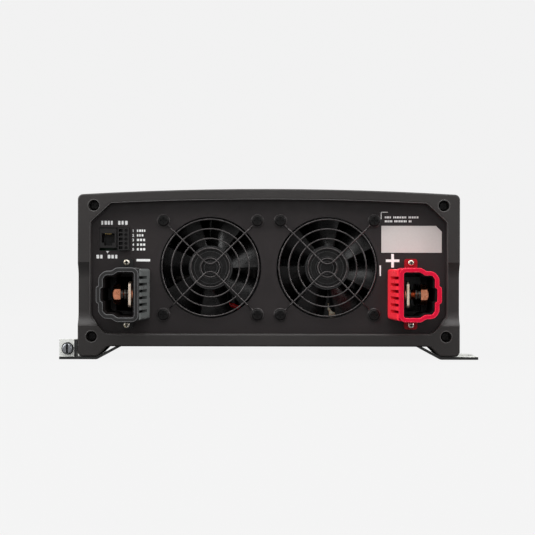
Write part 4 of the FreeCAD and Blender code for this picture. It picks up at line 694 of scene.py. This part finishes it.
def dc_print(ink):
    """Polarity marks, the sockets' pin list and captions on the DC panel."""
    marks = Print("dc", panel_face("dc"))
    marks.cross(94.3, 74.9, 10.3, 2.0)
    marks.bar(-100.9, 74.1, -90.5, 75.9)
    marks.bar(84.4, 63.3, 85.4, 71.3)
    for row, letters in enumerate(PIN_LETTERS):
        z = PIN_Z - PIN_PITCH * row
        marks.words(-100.6, z, -93.4, z + 1.8, letters, row % 4)
    marks.words(-127.7, 102.0, -118.0, 105.0, 4, 0)
    marks.words(-114.9, 102.0, -107.0, 105.0, 3, 1)
    marks.words(-131.4, 76.3, -114.3, 79.1, 6, 8)
    marks.shape([(-124.1, 82.0), (-122.9, 80.2), (-121.7, 82.0)])
    marks.words(88.3, 107.2, 114.2, 108.7, 20, 3)
    marks.words(88.3, 104.2, 109.0, 105.7, 17, 5)
    marks.bar(85.3, 106.6, 85.8, 112.1)
    marks.bar(85.3, 111.6, 90.6, 112.1)
    marks.finish("dc_print_marks", ink)


def pin_numbers(ink):
    """The five pins' numbers beside the terminal strip."""
    upright = Matrix.Rotation(math.pi / 2, 4, "X") @ Matrix.Scale(1 / MM, 4)
    for row in range(len(PIN_LETTERS)):
        text = bpy.data.curves.new(f"pin_number_{row + 1}", "FONT")
        text.body = str(row + 1)
        text.size = 2.6 * MM
        text.align_x = "CENTER"
        text.extrude = INK_MM * MM
        text.offset = 0.09 * MM
        text.resolution_u = 3
        text.materials.append(ink)
        made = bpy.data.objects.new(text.name, text)
        bpy.context.scene.collection.objects.link(made)
        spot = Matrix.Translation((-103.4, -INK_MM, PIN_Z - PIN_PITCH * row))
        made.matrix_world = end_matrix("dc", panel_face("dc")) @ spot @ upright
        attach(made, CASE)


def ac_print(ink):
    """Captions and lamp symbols on the AC panel."""
    marks = Print("ac", panel_face("ac"))
    marks.words(-113.0, 109.0, -97.0, 111.6, 7, 2)
    for index, x in enumerate((-119, -105, -91)):
        marks.words(x - 4.5, 67.8, x + 4.5, 69.6, 5, index)
    marks.ring(-119, 81.0, 2.0, 0.4)
    marks.bar(-119.2, 81.4, -118.8, 83.6)
    marks.shape([(-106.6, 79.4), (-103.4, 79.4), (-105, 82.4)])
    marks.bar(-92.4, 79.6, -89.6, 80.1)
    marks.bar(-92.4, 80.8, -89.6, 81.3)
    marks.bar(-92.4, 82.0, -89.6, 82.5)
    marks.words(-6.0, 106.4, 12.0, 108.6, 8, 4)
    marks.words(52.0, 106.4, 118.0, 108.6, 22, 6)
    marks.finish("ac_print_marks", ink)


# ---------------------------------------------------------------- small trim, painted highlights and painted shade


BEAD_SIDES, RING_STEPS, CROWN_STEPS = 8, 32, 24
# black sleeve of painted shade in each cover: its gap to the cover's wall, its own wall, and its two ends
SHADE_LINER_GAP, SHADE_LINER_THICK = 0.35, 0.6
SHADE_LINER_FRONT, SHADE_LINER_BACK = -29.0, 7.6
# painted highlight lines on the edges of a cover's mouth: how far inside the wall's faces, how deep and how
# thick
RIM_INSET, RIM_Y, RIM_BEAD = 0.35, -29.67, 0.32
OUTER_RADII = (1.2, 1.2, 6, 6, 4, 4, 4, 4)
INNER_RADII = (0.3, 0.3, 2.5, 2.5, 2.5, 2.5, 1.6, 1.6)
# right half of the DC bezel's window, from its lower edge up, and the corners' radii; its top is an arc
WINDOW_CORNERS = ((124.1, 19.4), (134.8, 32.7), (134.8, 103.8), (119.5, 118))
WINDOW_RADII = (7, 7, 3, 3)
CROWN_RADIUS = 2420
# painted highlight lines on the window's edge and round the screw wells: how far outside, how deep and how
# thick
LIP_OUT, LIP_Y, LIP_BEAD = 0.41, 0.45, 0.35
WELLS = ((132.3, 116.3), (134, 17.2))
WELL_RADIUS, WELL_Y, WELL_BEAD = 4.5, 0.3, 0.45
# dark inserts of painted shade in the cover screws' crosses and in the earth screw's slot
CROSS_ARM, CROSS_NARROW = 1.4, 0.42
CROSS_FRONT, CROSS_BACK = 3.9, 4.6
EARTH_SLOT = ((-152.8, 4.6), (-151.4, 4.6), (-151.4, 11.8), (-152.8, 11.8))
EARTH_FRONT, EARTH_BACK = -0.6, -0.3
# ridges on a fan's hub: radius, half width and height of each
HUB_RIDGES = ((16.2, 0.7, 0.35), (12.4, 0.4, 0.2), (8.6, 0.4, 0.2), (5.0, 0.5, 0.25))
RIDGE_ROOT = 0.3
# fuse link behind the right fan
FUSE_OUTLINE = (
    (47.5, 27.5), (54.5, 27.5), (54.5, 34.4), (50.5, 34.4), (47.5, 38.4),
    (47.5, 41.2), (43.6, 41.2), (43.6, 38.4), (45.5, 38.4), (47.5, 34.4),
)
FUSE_FRONT, FUSE_BACK = 40.4, 41.6


def cover_outline(inset):
    """Outline of a terminal cover moved in by inset, outwards and up from the terminal's middle."""
    half = [
        (18.4 - inset, 5.5 - 0.3 * inset),
        (16.6 - inset, 6.5 - 0.3 * inset),
        (16.6 - inset, 12.9 - 0.4 * inset),
        (12.6 - 0.4 * inset, 17.5 - inset),
        (7.1 - 0.3 * inset, 17.5 - inset),
        (3.6 - 0.3 * inset, 19.9 - inset),
        (0.4 * inset - 9.6, 19.9 - inset),
        (inset - 12.6, 16.9 - 0.4 * inset),
    ]
    return half + [(x, -z) for x, z in reversed(half)]


def softened(corners, radii, steps=5):
    """The outline with each corner turned into an arc of its own radius; a radius of 0 leaves it as it is."""
    soft = []
    count = len(corners)
    for i in range(count):
        if radii[i] == 0:
            soft.append(corners[i])
            continue
        here = Vector(corners[i])
        back = (Vector(corners[i - 1]) - here).normalized()
        on = (Vector(corners[(i + 1) % count]) - here).normalized()
        half = back.angle(on) / 2
        reach = radii[i] / math.tan(half)
        start, stop = here + back * reach, here + on * reach
        centre = here + (back + on).normalized() * (radii[i] / math.sin(half))
        for step in range(steps + 1):
            spoke = start.lerp(stop, step / steps) - centre
            soft.append(tuple(centre + spoke.normalized() * radii[i]))
    return soft


def grow(path, distance):
    """A closed path moved sideways by distance."""
    moved = []
    count = len(path)
    for i in range(count):
        along = Vector(path[(i + 1) % count]) - Vector(path[i - 1])
        along.normalize()
        moved.append((path[i][0] + along.y * distance, path[i][1] - along.x * distance))
    return moved


def bridge(builder, first, second):
    """Quads between two closed loops of the same length."""
    count = len(first)
    for i in range(count):
        j = (i + 1) % count
        builder.faces.new((first[i], first[j], second[j], second[i]))


def bead(builder, path, y, radius):
    """Round line along a closed path on the DC end, its middle at depth y behind the bezel's face."""
    matrix = end_matrix("dc", bezel_face("dc"))
    loops = []
    for k in range(BEAD_SIDES):
        turn = math.tau * k / BEAD_SIDES
        depth = y + radius * math.sin(turn)
        side = grow(path, radius * math.cos(turn))
        loops.append([builder.verts.new(matrix @ Vector((x, depth, z))) for x, z in side])
    for k in range(BEAD_SIDES):
        bridge(builder, loops[k], loops[(k + 1) % BEAD_SIDES])


def revolved(builder, profile, centre, steps=96):
    """Closed profile of (radius, y) in millimetres turned round the Y axis through centre."""
    rings = []
    for step in range(steps):
        angle = math.tau * step / steps
        spots = [Vector((r * math.cos(angle), y, r * math.sin(angle))) for r, y in profile]
        rings.append([builder.verts.new(centre + MM * spot) for spot in spots])
    for step in range(steps):
        bridge(builder, rings[step], rings[(step + 1) % steps])


def outward(builder):
    """Turns every face of the mesh to the outside."""
    bmesh.ops.recalc_face_normals(builder, faces=builder.faces)


def window_path():
    """Outline of the DC bezel's window, its upper edge an arc like the top of the case."""
    *right, (crown_half, crown_z) = WINDOW_CORNERS
    sink = math.sqrt(CROWN_RADIUS ** 2 - crown_half ** 2)
    crown = []
    for i in range(CROWN_STEPS + 1):
        x = crown_half * (1 - 2 * i / CROWN_STEPS)
        crown.append((x, crown_z + math.sqrt(CROWN_RADIUS ** 2 - x * x) - sink))
    corners = right + crown + [(-x, z) for x, z in reversed(right)]
    straight = (0,) * (CROWN_STEPS - 1)
    return softened(corners, WINDOW_RADII + straight + WINDOW_RADII[::-1])


def bezel_edge_highlights(look):
    """Painted highlights: fine pale lines on the DC bezel's rounded edges, round its window and its four screw
    wells.
    """
    builder = bmesh.new()
    bead(builder, grow(window_path(), LIP_OUT), LIP_Y, LIP_BEAD)
    turns = [math.tau * k / RING_STEPS for k in range(RING_STEPS)]
    for x, z in WELLS:
        for side in (-1, 1):
            ring = [(side * x + WELL_RADIUS * math.cos(t), z + WELL_RADIUS * math.sin(t)) for t in turns]
            bead(builder, ring, WELL_Y, WELL_BEAD)
    outward(builder)
    piece("bezel_edge_highlights", builder, look)


def rim_edge_highlights(pole, side, look):
    """Painted highlights: fine pale lines on the rounded inner and outer edges of a cover's mouth."""
    builder = bmesh.new()
    for inset, radii in ((RIM_INSET, OUTER_RADII), (COVER_WALL - RIM_INSET, INNER_RADII)):
        path = softened(cover_outline(inset), radii + radii[::-1])
        bead(builder, [(side * (TERMINAL_X + x), TERMINAL_Z + z) for x, z in path], RIM_Y, RIM_BEAD)
    outward(builder)
    piece(pole + "_cover_rim_highlights", builder, look)


def cover_shade_liners(look):
    """Black sleeve of painted shade inside each terminal cover; it also backs the cover's cooling slots."""
    outer = cover_outline(COVER_WALL + SHADE_LINER_GAP)
    inner = cover_outline(COVER_WALL + SHADE_LINER_GAP + SHADE_LINER_THICK)
    section = ((outer, SHADE_LINER_FRONT), (outer, SHADE_LINER_BACK), (inner, SHADE_LINER_BACK), (inner, SHADE_LINER_FRONT))
    matrix = end_matrix("dc", bezel_face("dc"))
    for pole, side in (("negative", -1), ("positive", 1)):
        builder = bmesh.new()
        loops = []
        for corners, y in section:
            spots = [Vector((side * (TERMINAL_X + x), y, TERMINAL_Z + z)) for x, z in corners]
            loops.append([builder.verts.new(matrix @ spot) for spot in spots])
        for k in range(len(loops)):
            bridge(builder, loops[k], loops[(k + 1) % len(loops)])
        outward(builder)
        piece(pole + "_cover_shade_liner", builder, look)


def recess_shadows(look):
    """Painted shade: black inserts in the cover screws' cross recesses and in the earth screw's slot."""
    builder = bmesh.new()
    matrix = end_matrix("dc", bezel_face("dc"))
    a, n = CROSS_ARM, CROSS_NARROW
    cross = [(n, n), (n, a), (-n, a), (-n, n), (-a, n), (-a, -n),
             (-n, -n), (-n, -a), (n, -a), (n, -n), (a, -n), (a, n)]
    for side in (-1, 1):
        for end in (-1, 1):
            corners = [(side * TERMINAL_X + x, TERMINAL_Z + end * TAB_SCREW + z) for x, z in cross]
            prism(builder, corners, CROSS_FRONT, CROSS_BACK, matrix)
    prism(builder, EARTH_SLOT, EARTH_FRONT, EARTH_BACK, matrix)
    outward(builder)
    piece("screw_recess_shade", builder, look)


def hub_ridges(look):
    """Concentric ridges on each fan's hub, which turn with the fan."""
    for side in ("left", "right"):
        low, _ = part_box("fan_rotor_" + side)
        axis = middle("fan_frame_" + side)
        face = Vector((axis.x, low[1], axis.z))
        builder = bmesh.new()
        for radius, half, high in HUB_RIDGES:
            revolved(builder, [(radius - half, RIDGE_ROOT), (radius - half * 0.5, -high),
                               (radius + half * 0.5, -high), (radius + half, RIDGE_ROOT)], face)
        outward(builder)
        piece("hub_ridges_" + side, builder, look, "fan_" + side)


def fuse_link(look):
    """Tinned fuse link that stands on the main board behind the right fan."""
    builder = bmesh.new()
    prism(builder, FUSE_OUTLINE, FUSE_FRONT, FUSE_BACK, end_matrix("dc", bezel_face("dc")))
    outward(builder)
    piece("input_fuse_link", builder, look)


# ---------------------------------------------------------------- floor, light and camera


PAPER = 0.887  # tone of the ground that the camera sees
FLOOR_SHADOW, FLOOR_LIFT = 0.06, 1.052  # share of real shading in the floor, and what makes up for it
FLOOR_SIZE, FLOOR_DROP = 30, 0.0002
ROOM_LOW, ROOM_HIGH = 0.12, 0.8  # how bright the room is level with the object and overhead


def floor():
    """Pale paper that the object stands on, with a soft shadow under the object."""
    look = Look("floor_paper", Roughness=0.9)
    look.shader.inputs["Base Color"].default_value = (0.2, 0.2, 0.2, 1)
    paper = look.nodes.new("ShaderNodeEmission")
    paper.inputs["Color"].default_value = (PAPER, PAPER, PAPER, 1)
    paper.inputs["Strength"].default_value = FLOOR_LIFT
    mixed = look.nodes.new("ShaderNodeMixShader")
    mixed.inputs["Fac"].default_value = FLOOR_SHADOW
    look.links.new(paper.outputs["Emission"], mixed.inputs[1])
    look.links.new(look.shader.outputs["BSDF"], mixed.inputs[2])
    seen = look.nodes.new("ShaderNodeMixShader")
    look.links.new(look.nodes.new("ShaderNodeLightPath").outputs["Is Camera Ray"], seen.inputs["Fac"])
    look.links.new(look.shader.outputs["BSDF"], seen.inputs[1])
    look.links.new(mixed.outputs["Shader"], seen.inputs[2])
    look.links.new(seen.outputs["Shader"], look.nodes["Material Output"].inputs["Surface"])
    mesh = bpy.data.meshes.new("floor")
    builder = bmesh.new()
    bmesh.ops.create_grid(builder, x_segments=1, y_segments=1, size=FLOOR_SIZE)
    builder.to_mesh(mesh)
    builder.free()
    mesh.materials.append(look.material)
    made = bpy.data.objects.new("floor", mesh)
    made.location.z = -FLOOR_DROP
    bpy.context.scene.collection.objects.link(made)


def surround():
    """The camera sees even pale paper; a room dim at eye level and pale overhead lights the object."""
    world = bpy.data.worlds.new("surround")
    world.use_nodes = True
    nodes, links = world.node_tree.nodes, world.node_tree.links
    room = nodes["Background"]
    split = nodes.new("ShaderNodeSeparateXYZ")
    links.new(nodes.new("ShaderNodeTexCoord").outputs["Generated"], split.inputs["Vector"])
    level = nodes.new("ShaderNodeMapRange")
    level.interpolation_type = "SMOOTHSTEP"
    heights = (("From Min", 0.05), ("From Max", 0.8), ("To Min", ROOM_LOW), ("To Max", ROOM_HIGH))
    for socket, number in heights:
        level.inputs[socket].default_value = number
    links.new(split.outputs["Z"], level.inputs["Value"])
    links.new(level.outputs["Result"], room.inputs["Strength"])
    room.inputs["Color"].default_value = (1, 1, 1, 1)
    paper = nodes.new("ShaderNodeBackground")
    paper.inputs["Color"].default_value = (PAPER, PAPER, PAPER, 1)
    seen = nodes.new("ShaderNodeMixShader")
    links.new(nodes.new("ShaderNodeLightPath").outputs["Is Camera Ray"], seen.inputs["Fac"])
    links.new(room.outputs["Background"], seen.inputs[1])
    links.new(paper.outputs["Background"], seen.inputs[2])
    links.new(seen.outputs["Shader"], nodes["World Output"].inputs["Surface"])
    bpy.context.scene.world = world


def softbox(name, place, size, power, target=(0, -0.2, 0.07)):
    light = bpy.data.lights.new(name, "AREA")
    light.shape = "RECTANGLE"
    light.size, light.size_y = size
    light.energy = power
    made = bpy.data.objects.new(name, light)
    made.location = place
    made.rotation_euler = (Vector(target) - Vector(place)).to_track_quat("-Z", "Y").to_euler()
    bpy.context.scene.collection.objects.link(made)


def lights():
    softbox("overhead", (0.0, -1.0, 1.7), (1.8, 1.2), 27)
    softbox("left_strip", (-1.5, -0.6, 0.9), (0.6, 1.2), 27)
    softbox("right_strip", (1.5, -0.6, 0.9), (0.6, 1.2), 25)
    softbox("front", (0.0, -1.35, 0.35), (0.7, 0.4), 1.5)


LENS_MM, SENSOR_MM = 80.17, 36
CAMERA_BACK, CAMERA_LEFT, CAMERA_LIFT = 0.9, 0.00102, 0.0002
CAMERA_ROLL = -0.0016


def camera():
    """Level camera in front of the DC end, a little left of the middle and at the fans' height."""
    lens = bpy.data.cameras.new("camera")
    lens.sensor_width = SENSOR_MM
    lens.lens = LENS_MM
    lens.clip_end = 100
    made = bpy.data.objects.new("camera", lens)
    made.location = (-CAMERA_LEFT, bezel_face("dc") - CAMERA_BACK, middle("fan_frame_left").z + CAMERA_LIFT)
    made.rotation_euler = (math.pi / 2, CAMERA_ROLL, 0)
    bpy.context.scene.collection.objects.link(made)
    bpy.context.scene.camera = made
    bpy.context.scene.view_settings.view_transform = "Standard"


looks = dress_frame()
white = print_ink()
dc_print(white)
pin_numbers(white)
ac_print(white)
bezel_edge_highlights(lip_highlight_plastic())
cover_shade_liners(shade_liner_plastic())
rim_edge_highlights("negative", -1, rim_highlight_grey())
rim_edge_highlights("positive", 1, rim_highlight_red())
recess_shadows(looks["screw_black"])
hub_ridges(hub_ridge_highlight())
fuse_link(link_tin())
floor()
surround()
lights()
camera()
